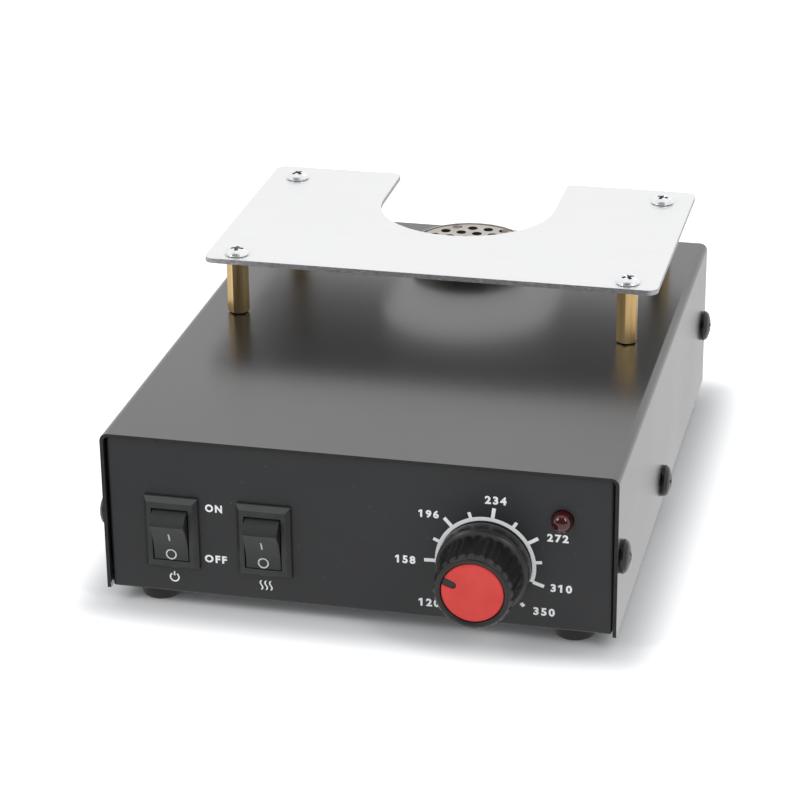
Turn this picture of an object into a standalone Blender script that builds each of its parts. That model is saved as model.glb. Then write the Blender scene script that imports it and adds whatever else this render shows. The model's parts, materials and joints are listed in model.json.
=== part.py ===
"""Bench preheater for circuit boards: a small steel case that blows hot air up through a perforated outlet.

The board lies on a notched aluminium plate, held over the outlet by four brass standoffs. Two rocker
switches, a temperature knob and a lamp sit in the front panel. +Z is up, the front panel faces -Y, and
the origin is on the table under the middle of the whole object.
"""

import math

import bmesh
import bpy
from mathutils import Matrix, Vector

# Case and sheet metal, in metres
CASE_WIDTH = 0.140
CASE_DEPTH = 0.175
CASE_HEIGHT = 0.046
COVER_SHEET = 0.0010
COVER_BEND = 0.0022
CHASSIS_SHEET = 0.0012
CHASSIS_BEND = 0.0020
PANEL_RECESS = 0.0010
PANEL_CORNER = 0.0022
PANEL_CORNER_BITE = 0.00006
PANEL_EDGE_BEND = 0.0014
SHEET_GAP = 0.0003
COVER_DROP = 0.0005
BEND_STEPS = 5

# Clearances
SEAT = 0.0002
HOLE_PLAY = 0.0003
THREAD_PLAY = 0.0002
RUNNING_GAP = 0.0003

# Rubber feet
FOOT_HEIGHT = 0.0050
FOOT_RADIUS = 0.0060
FOOT_TAPER = 0.0005
FOOT_EDGE = 0.0006
FOOT_DIMPLE_RADIUS = 0.0022
FOOT_DIMPLE_DEPTH = 0.0015
FOOT_STEM_RADIUS = 0.0018
FOOT_BARB_RADIUS = 0.0026
FOOT_BARB_HEIGHT = 0.0024
FOOT_INSET_X = 0.0125
FOOT_INSET_Y = 0.0100

# Board plate and what carries it
PLATE_SIDE_MARGIN = 0.0090
PLATE_FRONT_MARGIN = 0.0048
PLATE_REAR_MARGIN = 0.0107
PLATE_SHEET = 0.0015
PLATE_CORNER = 0.0030
PLATE_REAR_INSET = 0.0043
NOTCH_RADIUS = 0.0265
NOTCH_SETBACK = 0.0019
NOTCH_TIP = 0.0020
STANDOFF_INSET_X = 0.0125
STANDOFF_SPAN_Y = 0.0685
STANDOFF_LENGTH = 0.016
STANDOFF_FLATS = 0.0055
STANDOFF_CHAMFER = 0.0004
STANDOFF_TURNS = {"front_left": 17, "front_right": 28, "rear_left": 4, "rear_right": 41}
STUD_RADIUS = 0.0014
STUD_LENGTH = 0.0065
STUD_NUT_HEIGHT = 0.0024
PLATE_SCREW_HEAD_RADIUS = 0.00345
PLATE_SCREW_HEAD_HEIGHT = 0.0018
PLATE_SCREW_RIM = 0.0005
PLATE_SCREW_LENGTH = 0.0070

# Cover screws, on the sides
COVER_SCREW_HEAD_RADIUS = 0.0046
COVER_SCREW_HEAD_HEIGHT = 0.0024
COVER_SCREW_RIM = 0.0008
COVER_SCREW_RADIUS = 0.0018
COVER_SCREW_LENGTH = 0.0080
COVER_SCREW_INSET = 0.0062
COVER_SCREW_HEIGHT = 0.0210
COVER_SCREW_MIDDLE_HEIGHT = 0.0065
COVER_SCREW_MIDDLE_Y = -0.003
TAB_SHEET = 0.0012
TAB_EDGE = 0.0002
TAB_DEPTH = 0.014
TAB_HALF_WIDTH = 0.008
TAB_OVERLAP = 0.0006

# Air outlet, heater and fan
OUTLET_REAR_INSET = 0.0275
OUTLET_RISE = 0.0053
OUTLET_CLEARANCE = 0.0013
DISC_THICKNESS = 0.0022
DISC_SINK = 0.0002
DISC_HOLE_RADIUS = 0.00155
DISC_HOLE_PITCH = 0.0050
DISC_HOLE_RINGS = 3
DISC_TURN = -4
BARREL_RADIUS = 0.0176
BARREL_WALL = 0.0005
BARREL_FLANGE = 0.0010
BARREL_BOSS_RADIUS = 0.0027
BARREL_BOSS_HEIGHT = 0.0022
CORE_RADIUS = 0.0140
CORE_SHEET = 0.0008
CORE_LEDGE = 0.0010
CORE_PIN_RADIUS = 0.0010
CORE_PIN_SPAN = 0.008
CORE_PIN_HEIGHT = 0.0042
CORE_PIN_REACH = 0.0040
COIL_WIRE_RADIUS = 0.0006
COIL_TURNS = 5
COIL_PITCH = 0.0040
COIL_POINTS_PER_TURN = 12
COIL_START = 0.0080
FAN_SIZE = 0.040
FAN_HEIGHT = 0.015
FAN_BORE_RADIUS = 0.0190
FAN_HUB_RADIUS = 0.0090
FAN_HUB_HEIGHT = 0.0100
FAN_SHELL = 0.0012
FAN_MOTOR_RADIUS = 0.0080
FAN_STRUT_WIDTH = 0.0030
FAN_STRUT_HEIGHT = 0.0020
FAN_AXLE_RADIUS = 0.0010
FAN_BLADES = 7
FAN_BLADE_SHEET = 0.0010
FAN_BLADE_CHORD = 0.0115
FAN_BLADE_PITCH = 38
FAN_TIP_GAP = 0.0007
FAN_SCREW_SPAN = 0.032
FAN_SCREW_RADIUS = 0.0014
FAN_SCREW_HEAD_RADIUS = 0.0028
FAN_SCREW_HEAD_HEIGHT = 0.0016
INTAKE_SLOTS = 7
INTAKE_PITCH = 0.0046
INTAKE_WIDTH = 0.0024
INTAKE_LENGTH = 0.022

# Rocker switches
SWITCH_INSET = 0.0190
SWITCH_PITCH = 0.0257
SWITCH_HEIGHT = 0.0184
BEZEL_WIDTH = 0.0150
BEZEL_HEIGHT = 0.0210
BEZEL_RISE = 0.0020
BEZEL_LIP = 0.0006
BEZEL_BEVEL = 0.0017
SWITCH_BODY_WIDTH = 0.0126
SWITCH_BODY_HEIGHT = 0.0186
SWITCH_BODY_DEPTH = 0.0115
SWITCH_CUTOUT_PLAY = 0.0003
ROCKER_WIDTH = 0.0096
ROCKER_RADIUS = 0.0075
ROCKER_HALF_SPAN = 48
ROCKER_END_ARC = 44
ROCKER_TILT = 18
ROCKER_PIVOT_DEPTH = 0.0030
ROCKER_DISH = 0.0005
ROCKER_BACK = 0.0018
ROCKER_BACK_HALF = 0.0042
ROCKER_PIN_RADIUS = 0.0008
ROCKER_PIN_REACH = 0.0008
BEZEL_THROAT = 0.0008
BLADE_WIDTH = 0.0048
BLADE_SHEET = 0.0008
BLADE_LENGTH = 0.0070
BLADE_SPAN = 0.0100

# Temperature control
DIAL_INSET = 0.0352
DIAL_HEIGHT = 0.0177
KNOB_BACK_GAP = 0.0010
KNOB_REACH = 0.0175
KNOB_SKIRT_RADIUS = 0.0125
KNOB_SKIRT_HEIGHT = 0.0040
KNOB_STEP_HEIGHT = 0.0014
KNOB_GRIP_RADIUS = 0.0112
KNOB_GRIP_TAPER = 0.0006
KNOB_RIM_RADIUS = 0.0102
KNOB_RIM_BEVEL = 0.0006
KNOB_RECESS_RADIUS = 0.0095
KNOB_RECESS_DEPTH = 0.0048
KNOB_FLUTES = 24
KNOB_FLUTE_RADIUS = 0.0012
KNOB_FLUTE_DEPTH = 0.00045
KNOB_REST_ANGLE = -70
CAP_RADIUS = 0.0083
CAP_HEIGHT = 0.0014
CAP_CROWN = 0.0002
CAP_EDGE = 0.0003
POINTER_WIDTH = 0.0021
POINTER_LENGTH = 0.0038
POT_RADIUS = 0.0083
POT_DEPTH = 0.0076
POT_BUSH_RADIUS = 0.0045
POT_BUSH_LENGTH = 0.0046
POT_LUG_WIDTH = 0.0022
POT_LUG_SHEET = 0.0006
POT_LUG_DROP = 0.0052
POT_LUG_PITCH = 0.0045
POT_NUT_FLATS = 0.0120
POT_NUT_HEIGHT = 0.0020
SHAFT_RADIUS = 0.0030
SHAFT_SOCKET = 0.0085
SHAFT_TAIL = 0.0060

# Indicator lamp
LED_INSET = 0.0148
LED_HEIGHT = 0.0323
LED_RADIUS = 0.0029
LED_REACH = 0.0036
LED_FLANGE_RADIUS = 0.0036
LED_FLANGE_HEIGHT = 0.0010
LED_LEG_RADIUS = 0.0003
LED_LEG_LENGTH = 0.0090
LED_LEG_SPAN = 0.00254

# Rear panel
INLET_HEIGHT = 0.0225
INLET_FLANGE_WIDTH = 0.0310
INLET_FLANGE_HEIGHT = 0.0240
INLET_FLANGE_RISE = 0.0025
INLET_BODY_WIDTH = 0.0270
INLET_BODY_HEIGHT = 0.0200
INLET_BODY_DEPTH = 0.0165
INLET_MOUTH_WIDTH = 0.0244
INLET_MOUTH_HEIGHT = 0.0166
INLET_MOUTH_DEPTH = 0.0160
INLET_MOUTH_CORNER = 0.0045
INLET_PIN_SPAN = 0.0140
INLET_PIN_OFFSET = 0.0020
INLET_PIN_WIDTH = 0.0020
INLET_PIN_HEIGHT = 0.0040
INLET_PIN_LENGTH = 0.0125
VENT_INSET = 0.0360
VENT_SLOTS = 7
VENT_PITCH = 0.0060
VENT_WIDTH = 0.0028
VENT_LENGTH = 0.0240

# Control board
BOARD_WIDTH = 0.096
BOARD_DEPTH = 0.058
BOARD_SHEET = 0.0016
BOARD_GAP = 0.0090
BOARD_HOLE_INSET = 0.004
SPACER_HEIGHT = 0.0060
SPACER_RADIUS = 0.0028
SPACER_PIN_RADIUS = 0.0013
SPACER_PIN_LENGTH = 0.0034
BOARD_CAPACITORS = ((0.0405, 0.0120, 0.0040), (0.0405, -0.0050, 0.0032), (-0.0360, 0.0160, 0.0030))
RELAY_PLACE = (-0.0325, -0.0180)
RELAY_SIZE = (0.0170, 0.0080, 0.0110)
CHIP_PLACE = (0.0200, -0.0180)
CHIP_SIZE = (0.0200, 0.0060, 0.0035)
TRANSFORMER_PLACE = (-0.0120, 0.0060)
TRANSFORMER_WIDTH = 0.030
TRANSFORMER_DEPTH = 0.022
TRANSFORMER_HEIGHT = 0.022
TRANSFORMER_COIL = 0.0045
HEATSINK_PLACE = (0.0220, -0.0060)
HEATSINK_WIDTH = 0.024
HEATSINK_HEIGHT = 0.020
HEATSINK_FINS = 5
HEATSINK_FIN_SHEET = 0.0012
HEATSINK_BASE = 0.0024
HEATSINK_FIN_LENGTH = 0.0080
TERMINAL_WAYS = 4
TERMINAL_PITCH = 0.0075
TERMINAL_DEPTH = 0.0110
TERMINAL_HEIGHT = 0.0120
TERMINAL_MOUTH_DEPTH = 0.0030
TERMINAL_SCREW_DEPTH = 0.0020
LEAD_RADIUS = 0.0013
LEAD_STEP = 0.007
LEAD_STUB = 0.006
FAN_LEAD_INSET = 0.018

# Places worked out from the sizes above
STANDOFF_SPAN_X = CASE_WIDTH - 2 * STANDOFF_INSET_X
PLATE_WIDTH = STANDOFF_SPAN_X + 2 * PLATE_SIDE_MARGIN
PLATE_DEPTH = PLATE_FRONT_MARGIN + STANDOFF_SPAN_Y + PLATE_REAR_MARGIN
POWER_X = SWITCH_INSET - CASE_WIDTH / 2
SWITCH_CENTRE_X = {"power": POWER_X, "heater": POWER_X + SWITCH_PITCH}
DIAL_X = CASE_WIDTH / 2 - DIAL_INSET
LED_X = CASE_WIDTH / 2 - LED_INSET
INLET_X = -(FAN_SIZE / 2 + CASE_WIDTH / 2 - COVER_SCREW_LENGTH) / 2
VENT_X = CASE_WIDTH / 2 - VENT_INSET
REAR_STANDOUT = max(PANEL_RECESS, INLET_FLANGE_RISE + SEAT)
FRONT_STANDOUT = max(PANEL_RECESS, KNOB_REACH)
CASE_Y = (FRONT_STANDOUT - REAR_STANDOUT) / 2
FRONT = CASE_Y - CASE_DEPTH / 2
REAR = CASE_Y + CASE_DEPTH / 2
PANEL_FACE = FRONT + PANEL_RECESS
PANEL_BACK = PANEL_FACE + CHASSIS_SHEET
REAR_FACE = REAR - PANEL_RECESS
REAR_BACK = REAR_FACE - CHASSIS_SHEET
BASE_UNDER = FOOT_HEIGHT + SEAT
BASE_TOP = BASE_UNDER + CHASSIS_SHEET
COVER_LOW = BASE_UNDER - COVER_DROP
COVER_TOP = COVER_LOW + CASE_HEIGHT
COVER_UNDER = COVER_TOP - COVER_SHEET
CHASSIS_HALF = CASE_WIDTH / 2 - COVER_SHEET - SHEET_GAP
PANEL_TOP = COVER_UNDER - SHEET_GAP
OUTLET_Y = REAR - OUTLET_REAR_INSET
PLATE_REAR = REAR - PLATE_REAR_INSET
PLATE_FRONT = PLATE_REAR - PLATE_DEPTH
PLATE_LOW = COVER_TOP + STANDOFF_LENGTH + 2 * SEAT
PLATE_TOP = PLATE_LOW + PLATE_SHEET
STANDOFF_FRONT_Y = PLATE_FRONT + PLATE_FRONT_MARGIN
FAN_LOW = BASE_TOP + SEAT
FAN_TOP = FAN_LOW + FAN_HEIGHT
FLANGE_LOW = FAN_TOP + SEAT
FLANGE_TOP = FLANGE_LOW + BARREL_FLANGE
BARREL_TOP = COVER_TOP + OUTLET_RISE
DISC_TOP = BARREL_TOP - DISC_SINK
DISC_LOW = DISC_TOP - DISC_THICKNESS
DISC_RADIUS = BARREL_RADIUS - BARREL_WALL - SEAT
SWITCH_Z = COVER_LOW + SWITCH_HEIGHT
DIAL_Z = COVER_LOW + DIAL_HEIGHT
BOARD_LOW = BASE_TOP + SPACER_HEIGHT + 2 * SEAT
BOARD_TOP = BOARD_LOW + BOARD_SHEET
SWITCH_BACK = PANEL_FACE + SWITCH_BODY_DEPTH + BLADE_LENGTH
BOARD_CENTRE_Y = SWITCH_BACK + BOARD_GAP + BOARD_DEPTH / 2
BEZEL_FACE = PANEL_FACE - SEAT - BEZEL_RISE
ROCKER_PIVOT_Y = BEZEL_FACE + ROCKER_PIVOT_DEPTH
INLET_Z = COVER_LOW + INLET_HEIGHT
CORNERS = {
    "front_left": (-1, -1),
    "front_right": (1, -1),
    "rear_left": (-1, 1),
    "rear_right": (1, 1),
}
SIDES = {"left": -1, "right": 1}

# Ways to turn a shape that is drawn upright
UPRIGHT = Matrix.Identity(4)
FACING_FRONT = Matrix.Rotation(math.radians(90), 4, "X")
FACING_REAR = Matrix.Rotation(math.radians(-90), 4, "X")
FACING_DOWN = Matrix.Rotation(math.radians(180), 4, "X")
FACING_SIDE = {
    "left": Matrix.Rotation(math.radians(-90), 4, "Y"),
    "right": Matrix.Rotation(math.radians(90), 4, "Y"),
}


def clear_scene():
    for obj in list(bpy.data.objects):
        bpy.data.objects.remove(obj, do_unlink=True)


def new_collection(name, hidden=False):
    made = bpy.data.collections.new(name)
    bpy.context.scene.collection.children.link(made)
    made.hide_render = hidden
    return made


def new_material(name, colour, roughness, metallic=0.0):
    made = bpy.data.materials.new(name)
    made.use_nodes = True
    shader = made.node_tree.nodes["Principled BSDF"]
    shader.inputs["Base Color"].default_value = (*colour, 1.0)
    shader.inputs["Roughness"].default_value = roughness
    shader.inputs["Metallic"].default_value = metallic
    made.diffuse_color = (*colour, 1.0)
    return made


clear_scene()
PARTS = new_collection("pcb_preheater")
CUTTERS = new_collection("cutters", hidden=True)

MATERIALS = {
    "cover_paint": new_material("cover_paint", (0.030, 0.031, 0.033), 0.42),
    "panel_paint": new_material("panel_paint", (0.042, 0.044, 0.046), 0.55),
    "plate_metal": new_material("plate_metal", (0.86, 0.86, 0.85), 0.45, 0.6),
    "brass": new_material("brass", (0.62, 0.44, 0.20), 0.32, 1.0),
    "bright_steel": new_material("bright_steel", (0.80, 0.80, 0.80), 0.18, 1.0),
    "black_steel": new_material("black_steel", (0.020, 0.021, 0.023), 0.30, 0.4),
    "rubber": new_material("rubber", (0.018, 0.018, 0.019), 0.75),
    "switch_plastic": new_material("switch_plastic", (0.032, 0.032, 0.033), 0.48),
    "knob_plastic": new_material("knob_plastic", (0.026, 0.026, 0.025), 0.38),
    "red_plastic": new_material("red_plastic", (0.62, 0.060, 0.050), 0.40),
    "red_lens": new_material("red_lens", (0.16, 0.008, 0.008), 0.12),
    "ceramic": new_material("ceramic", (0.72, 0.68, 0.63), 0.70),
    "barrel_steel": new_material("barrel_steel", (0.30, 0.29, 0.28), 0.40, 0.9),
    "mica": new_material("mica", (0.55, 0.50, 0.42), 0.60),
    "coil_wire": new_material("coil_wire", (0.35, 0.32, 0.30), 0.45, 0.8),
    "fan_plastic": new_material("fan_plastic", (0.025, 0.025, 0.026), 0.50),
    "board_green": new_material("board_green", (0.03, 0.16, 0.06), 0.45),
    "nylon": new_material("nylon", (0.78, 0.77, 0.72), 0.50),
    "transformer_steel": new_material("transformer_steel", (0.25, 0.25, 0.26), 0.50, 0.7),
    "heatsink_metal": new_material("heatsink_metal", (0.55, 0.56, 0.57), 0.35, 0.9),
    "terminal_plastic": new_material("terminal_plastic", (0.05, 0.25, 0.12), 0.45),
    "lead_grey": new_material("lead_grey", (0.20, 0.20, 0.21), 0.55),
}


# Shapes that are added to one bmesh


def add_box(bm, low, high, turn=UPRIGHT):
    low, high = Vector(low), Vector(high)
    place = Matrix.Translation((low + high) / 2) @ turn
    size = Matrix.Diagonal((*(high - low), 1.0))
    return bmesh.ops.create_cube(bm, size=1.0, matrix=place @ size)["verts"]


def add_rod(bm, start, end, radius, sides=16, end_radius=None):
    """A round bar between two points, tapered if its end has another radius."""
    start, end = Vector(start), Vector(end)
    along = end - start
    turn = along.to_track_quat("Z", "Y").to_matrix().to_4x4()
    made = bmesh.ops.create_cone(
        bm,
        cap_ends=True,
        segments=sides,
        radius1=radius,
        radius2=radius if end_radius is None else end_radius,
        depth=along.length,
        matrix=Matrix.Translation((start + end) / 2) @ turn,
    )
    return made["verts"]


def add_hexagon(bm, low, high, flats, turn_degrees=0):
    """A hexagonal bar along Z, by its width across flats."""
    low, high = Vector(low), Vector(high)
    turn = Matrix.Rotation(math.radians(turn_degrees + 30), 4, "Z")
    bmesh.ops.create_cone(
        bm,
        cap_ends=True,
        segments=6,
        radius1=flats / 2 / math.cos(math.radians(30)),
        radius2=flats / 2 / math.cos(math.radians(30)),
        depth=(high - low).length,
        matrix=Matrix.Translation((low + high) / 2) @ turn,
    )


# Objects


def finish_mesh(mesh, sharp_degrees=30):
    mesh.shade_smooth()
    mesh.set_sharp_from_angle(angle=math.radians(sharp_degrees))


def object_from(name, mesh, material=None, place=UPRIGHT, group=None):
    obj = bpy.data.objects.new(name, mesh)
    (group or PARTS).objects.link(obj)
    if material is not None:
        mesh.materials.clear()
        mesh.materials.append(MATERIALS[material])
    obj.matrix_world = place
    return obj


def object_from_bmesh(name, bm, material=None, place=UPRIGHT, group=None):
    bmesh.ops.recalc_face_normals(bm, faces=bm.faces)
    mesh = bpy.data.meshes.new(name)
    bm.to_mesh(mesh)
    bm.free()
    finish_mesh(mesh)
    return object_from(name, mesh, material, place, group)


def helper_from_bmesh(name, bm, place=UPRIGHT):
    obj = object_from_bmesh(name, bm, place=place, group=CUTTERS)
    obj.hide_render = True
    obj.display_type = "WIRE"
    return obj


def boolean(obj, other, operation):
    step = obj.modifiers.new(other.name, "BOOLEAN")
    step.operation = operation
    step.object = other
    step.solver = "EXACT"
    if other.name not in CUTTERS.objects:
        for group in list(other.users_collection):
            group.objects.unlink(other)
        CUTTERS.objects.link(other)
    other.hide_render = True
    other.display_type = "WIRE"


def cut(obj, other):
    boolean(obj, other, "DIFFERENCE")


def join(obj, other):
    boolean(obj, other, "UNION")


def evaluated_mesh(obj):
    """The object's mesh with its modifiers applied, in its own axes."""
    bpy.context.view_layer.update()
    graph = bpy.context.evaluated_depsgraph_get()
    return bpy.data.meshes.new_from_object(obj.evaluated_get(graph))


def copies_of(obj, places):
    """Replaces a finished shape by one object for each named place, all sharing its mesh."""
    mesh = evaluated_mesh(obj)
    finish_mesh(mesh)
    mesh.name = obj.name
    material = obj.data.materials[0].name
    bpy.data.objects.remove(obj, do_unlink=True)
    return {name: object_from(name, mesh, material, place) for name, place in places.items()}


def turned(name, profile, material=None, place=UPRIGHT, sides=24, group=None):
    """A turned solid from (radius, height) points, listed down its outer side from the top."""
    bm = bmesh.new()
    points = [bm.verts.new((radius, 0.0, height)) for radius, height in profile]
    for first, second in zip(points, points[1:]):
        bm.edges.new((first, second))
    closed = profile[0][0] > 0
    if closed:
        bm.edges.new((points[-1], points[0]))
    mesh = bpy.data.meshes.new(name)
    bm.to_mesh(mesh)
    bm.free()
    obj = object_from(name, mesh, material, place, group)
    spin = obj.modifiers.new("turn", "SCREW")
    spin.axis = "Z"
    spin.angle = math.radians(360)
    spin.steps = sides
    spin.render_steps = sides
    spin.use_merge_vertices = True
    spin.merge_threshold = 0.00001
    spin.use_smooth_shade = True
    return obj


def arc(centre, radius, start_degrees, end_degrees, steps):
    """Points of a circle's arc in a plane, both ends included."""
    points = []
    for step in range(steps + 1):
        angle = math.radians(start_degrees + (end_degrees - start_degrees) * step / steps)
        points.append((centre[0] + radius * math.cos(angle), centre[1] + radius * math.sin(angle)))
    return points


def rounded(corners, radii, steps, closed=True):
    """The corner points of an outline with each corner made an arc of its own radius."""
    points = []
    count = len(corners)
    for index, (corner, radius) in enumerate(zip(corners, radii)):
        here = Vector(corner)
        if radius == 0 or (not closed and index in (0, count - 1)):
            points.append(tuple(here))
            continue
        towards_last = (Vector(corners[index - 1]) - here).normalized()
        towards_next = (Vector(corners[(index + 1) % count]) - here).normalized()
        half = towards_last.angle(towards_next) / 2
        centre = here + (towards_last + towards_next).normalized() * radius / math.sin(half)
        first = here + towards_last * radius / math.tan(half) - centre
        last = here + towards_next * radius / math.tan(half) - centre
        sweep = first.angle_signed(last)
        for step in range(steps + 1):
            turn = Matrix.Rotation(-sweep * step / steps, 2)
            points.append(tuple(centre + turn @ first))
    return points


def flat_outline(name, points, thickness, material=None, place=UPRIGHT, group=None):
    """A closed flat outline in X and Y, filled and given a thickness upwards from its plane."""
    curve = bpy.data.curves.new(name, "CURVE")
    curve.dimensions = "2D"
    curve.fill_mode = "BOTH"
    curve.extrude = thickness / 2
    spline = curve.splines.new("POLY")
    spline.points.add(len(points) - 1)
    for point, (x, y) in zip(spline.points, points):
        point.co = (x, y, 0.0, 1.0)
    spline.use_cyclic_u = True
    drawn = bpy.data.objects.new(name + "_outline", curve)
    CUTTERS.objects.link(drawn)
    mesh = evaluated_mesh(drawn)
    bpy.data.objects.remove(drawn, do_unlink=True)
    bm = bmesh.new()
    bm.from_mesh(mesh)
    bpy.data.meshes.remove(mesh)
    bmesh.ops.remove_doubles(bm, verts=bm.verts, dist=0.000001)
    bmesh.ops.dissolve_limit(bm, angle_limit=math.radians(0.5), verts=bm.verts, edges=bm.edges)
    bmesh.ops.translate(bm, verts=bm.verts, vec=(0, 0, thickness / 2))
    return object_from_bmesh(name, bm, material, place, group)


def bent_sheet(name, corners, bend, length, sheet, material, place):
    """A folded sheet: an open line of corners in X and Y, rounded at each bend, drawn out along Z."""
    line = rounded(corners, [bend] * len(corners), BEND_STEPS, closed=False)
    bm = bmesh.new()
    low = [bm.verts.new((x, y, -length / 2)) for x, y in line]
    edges = [bm.edges.new(pair) for pair in zip(low, low[1:])]
    drawn = bmesh.ops.extrude_edge_only(bm, edges=edges)["geom"]
    moved = [item for item in drawn if isinstance(item, bmesh.types.BMVert)]
    bmesh.ops.translate(bm, verts=moved, vec=(0, 0, length))
    mesh = bpy.data.meshes.new(name)
    bm.to_mesh(mesh)
    bm.free()
    finish_mesh(mesh)
    obj = object_from(name, mesh, material, place)
    shell = obj.modifiers.new("sheet", "SOLIDIFY")
    shell.thickness = sheet
    shell.offset = -1.0
    shell.use_even_offset = True
    return obj


def wire(name, points, radius, material, resolution=1, place=UPRIGHT):
    """A round wire through its points."""
    curve = bpy.data.curves.new(name, "CURVE")
    curve.dimensions = "3D"
    curve.bevel_depth = radius
    curve.bevel_resolution = resolution
    curve.use_fill_caps = True
    curve.materials.append(MATERIALS[material])
    spline = curve.splines.new("POLY")
    spline.points.add(len(points) - 1)
    for point, where in zip(spline.points, points):
        point.co = (*where, 1.0)
    obj = bpy.data.objects.new(name, curve)
    PARTS.objects.link(obj)
    obj.matrix_world = place
    return obj


def smooth_route(stations, step):
    """Points along a smooth curve through the stations, about one step apart."""
    stations = [Vector(station) for station in stations]
    padded = [2 * stations[0] - stations[1], *stations, 2 * stations[-1] - stations[-2]]
    points = [stations[0]]
    for before, start, end, after in zip(padded, padded[1:], padded[2:], padded[3:]):
        pieces = max(1, round((end - start).length / step))
        for piece in range(1, pieces + 1):
            t = piece / pieces
            points.append(
                0.5
                * (
                    2 * start
                    + (end - before) * t
                    + (2 * before - 5 * start + 4 * end - after) * t * t
                    + (3 * start - before - 3 * end + after) * t * t * t
                )
            )
    return points


def screw_shape(name, head_radius, head_height, rim, radius, length, material, sides=12):
    """A screw whose head's underside is at height 0, with its dome upwards and its shank below."""
    dome = head_height - rim
    profile = [(0.0, head_height)]
    for angle in (math.radians(60), math.radians(30), 0.0):
        profile.append((head_radius * math.cos(angle), rim + dome * math.sin(angle)))
    profile += [(head_radius, 0.0), (radius, 0.0), (radius, -length), (0.0, -length)]
    return turned(name, profile, material, sides=sides)


# Places that several pieces share


def foot_place(corner):
    side, end = CORNERS[corner]
    return (
        side * (CASE_WIDTH / 2 - FOOT_INSET_X),
        CASE_Y + end * (CASE_DEPTH / 2 - FOOT_INSET_Y),
    )


def standoff_place(corner):
    side, end = CORNERS[corner]
    return side * STANDOFF_SPAN_X / 2, STANDOFF_FRONT_Y + (end > 0) * STANDOFF_SPAN_Y


def fan_screw_place(corner):
    side, end = CORNERS[corner]
    return side * FAN_SCREW_SPAN / 2, OUTLET_Y + end * FAN_SCREW_SPAN / 2


def spacer_place(corner):
    side, end = CORNERS[corner]
    return (
        side * (BOARD_WIDTH / 2 - BOARD_HOLE_INSET),
        BOARD_CENTRE_Y + end * (BOARD_DEPTH / 2 - BOARD_HOLE_INSET),
    )


def cover_screw_places():
    """Height and Y of the three cover screws of one side."""
    high = COVER_LOW + COVER_SCREW_HEIGHT
    return {
        "front": (FRONT + COVER_SCREW_INSET, high),
        "middle": (CASE_Y + COVER_SCREW_MIDDLE_Y, COVER_LOW + COVER_SCREW_MIDDLE_HEIGHT),
        "rear": (REAR - COVER_SCREW_INSET, high),
    }


def build_top_cover():
    half = CASE_WIDTH / 2
    corners = [(-half, COVER_LOW), (-half, COVER_TOP), (half, COVER_TOP), (half, COVER_LOW)]
    cover = bent_sheet(
        "top_cover",
        corners,
        COVER_BEND,
        CASE_DEPTH,
        COVER_SHEET,
        "cover_paint",
        Matrix.Translation((0, CASE_Y, 0)) @ FACING_FRONT,
    )
    bm = bmesh.new()
    through = 2 * COVER_SHEET
    low, high = COVER_TOP - through, COVER_TOP + through
    hole = BARREL_RADIUS + OUTLET_CLEARANCE
    add_rod(bm, (0, OUTLET_Y, low), (0, OUTLET_Y, high), hole, sides=36)
    for corner in CORNERS:
        x, y = standoff_place(corner)
        add_rod(bm, (x, y, low), (x, y, high), STUD_RADIUS + HOLE_PLAY, sides=8)
    for y, z in cover_screw_places().values():
        for side in SIDES.values():
            inner, outer = half - through, half + through
            radius = COVER_SCREW_RADIUS + HOLE_PLAY
            add_rod(bm, (side * inner, y, z), (side * outer, y, z), radius, sides=8)
    cut(cover, helper_from_bmesh("cover_holes", bm))


def chassis_tabs():
    """The flanges that take the cover screws: four folded from the panels, two tabs from the base."""
    bm = bmesh.new()
    places = cover_screw_places()
    for side in SIDES.values():
        inner = CHASSIS_HALF - TAB_EDGE - TAB_SHEET
        outer = CHASSIS_HALF - TAB_EDGE
        low_x, high_x = sorted((side * inner, side * outer))
        low_z, high_z = BASE_UNDER + PANEL_CORNER, PANEL_TOP - PANEL_CORNER
        front = PANEL_BACK - TAB_OVERLAP
        add_box(bm, (low_x, front, low_z), (high_x, front + TAB_DEPTH, high_z))
        rear = REAR_BACK + TAB_OVERLAP
        add_box(bm, (low_x, rear - TAB_DEPTH, low_z), (high_x, rear, high_z))
        y, z = places["middle"]
        add_box(
            bm,
            (low_x, y - TAB_HALF_WIDTH, BASE_TOP - TAB_OVERLAP),
            (high_x, y + TAB_HALF_WIDTH, z + COVER_SCREW_HEAD_RADIUS),
        )
    return helper_from_bmesh("chassis_tabs", bm)


def slot_outline(length, width):
    half = (length - width) / 2
    return arc((half, 0), width / 2, -90, 90, 2) + arc((-half, 0), width / 2, 90, 270, 2)


def cut_slots(obj, name, places, length, width, depth):
    """Cuts one slot at each place; a place turns and moves the slot, which is drawn along X."""
    for index, place in enumerate(places):
        slot = flat_outline(
            f"{name}_{index}", slot_outline(length, width), depth, place=place, group=CUTTERS
        )
        cut(obj, slot)


def corner_relief(name, side, rise, face_low, face_high):
    """The square corner that is cut off a panel, low or high, to leave it round."""
    bite = PANEL_CORNER_BITE
    edge = side * (CHASSIS_HALF + bite)
    level = PANEL_TOP + bite if rise > 0 else BASE_UNDER - bite
    centre = (edge - side * PANEL_CORNER, level - rise * PANEL_CORNER)
    outline = [
        (centre[0] + side * PANEL_CORNER * math.cos(angle), centre[1] + rise * PANEL_CORNER * math.sin(angle))
        for angle in (math.radians(22.5 * step) for step in range(5))
    ]
    outline += [
        (centre[0], level + rise * PANEL_CORNER),
        (edge + side * PANEL_CORNER, level + rise * PANEL_CORNER),
        (edge + side * PANEL_CORNER, centre[1]),
    ]
    place = Matrix.Translation((0, face_high, 0)) @ FACING_FRONT
    return flat_outline(name, outline, face_high - face_low, place=place, group=CUTTERS)


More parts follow.
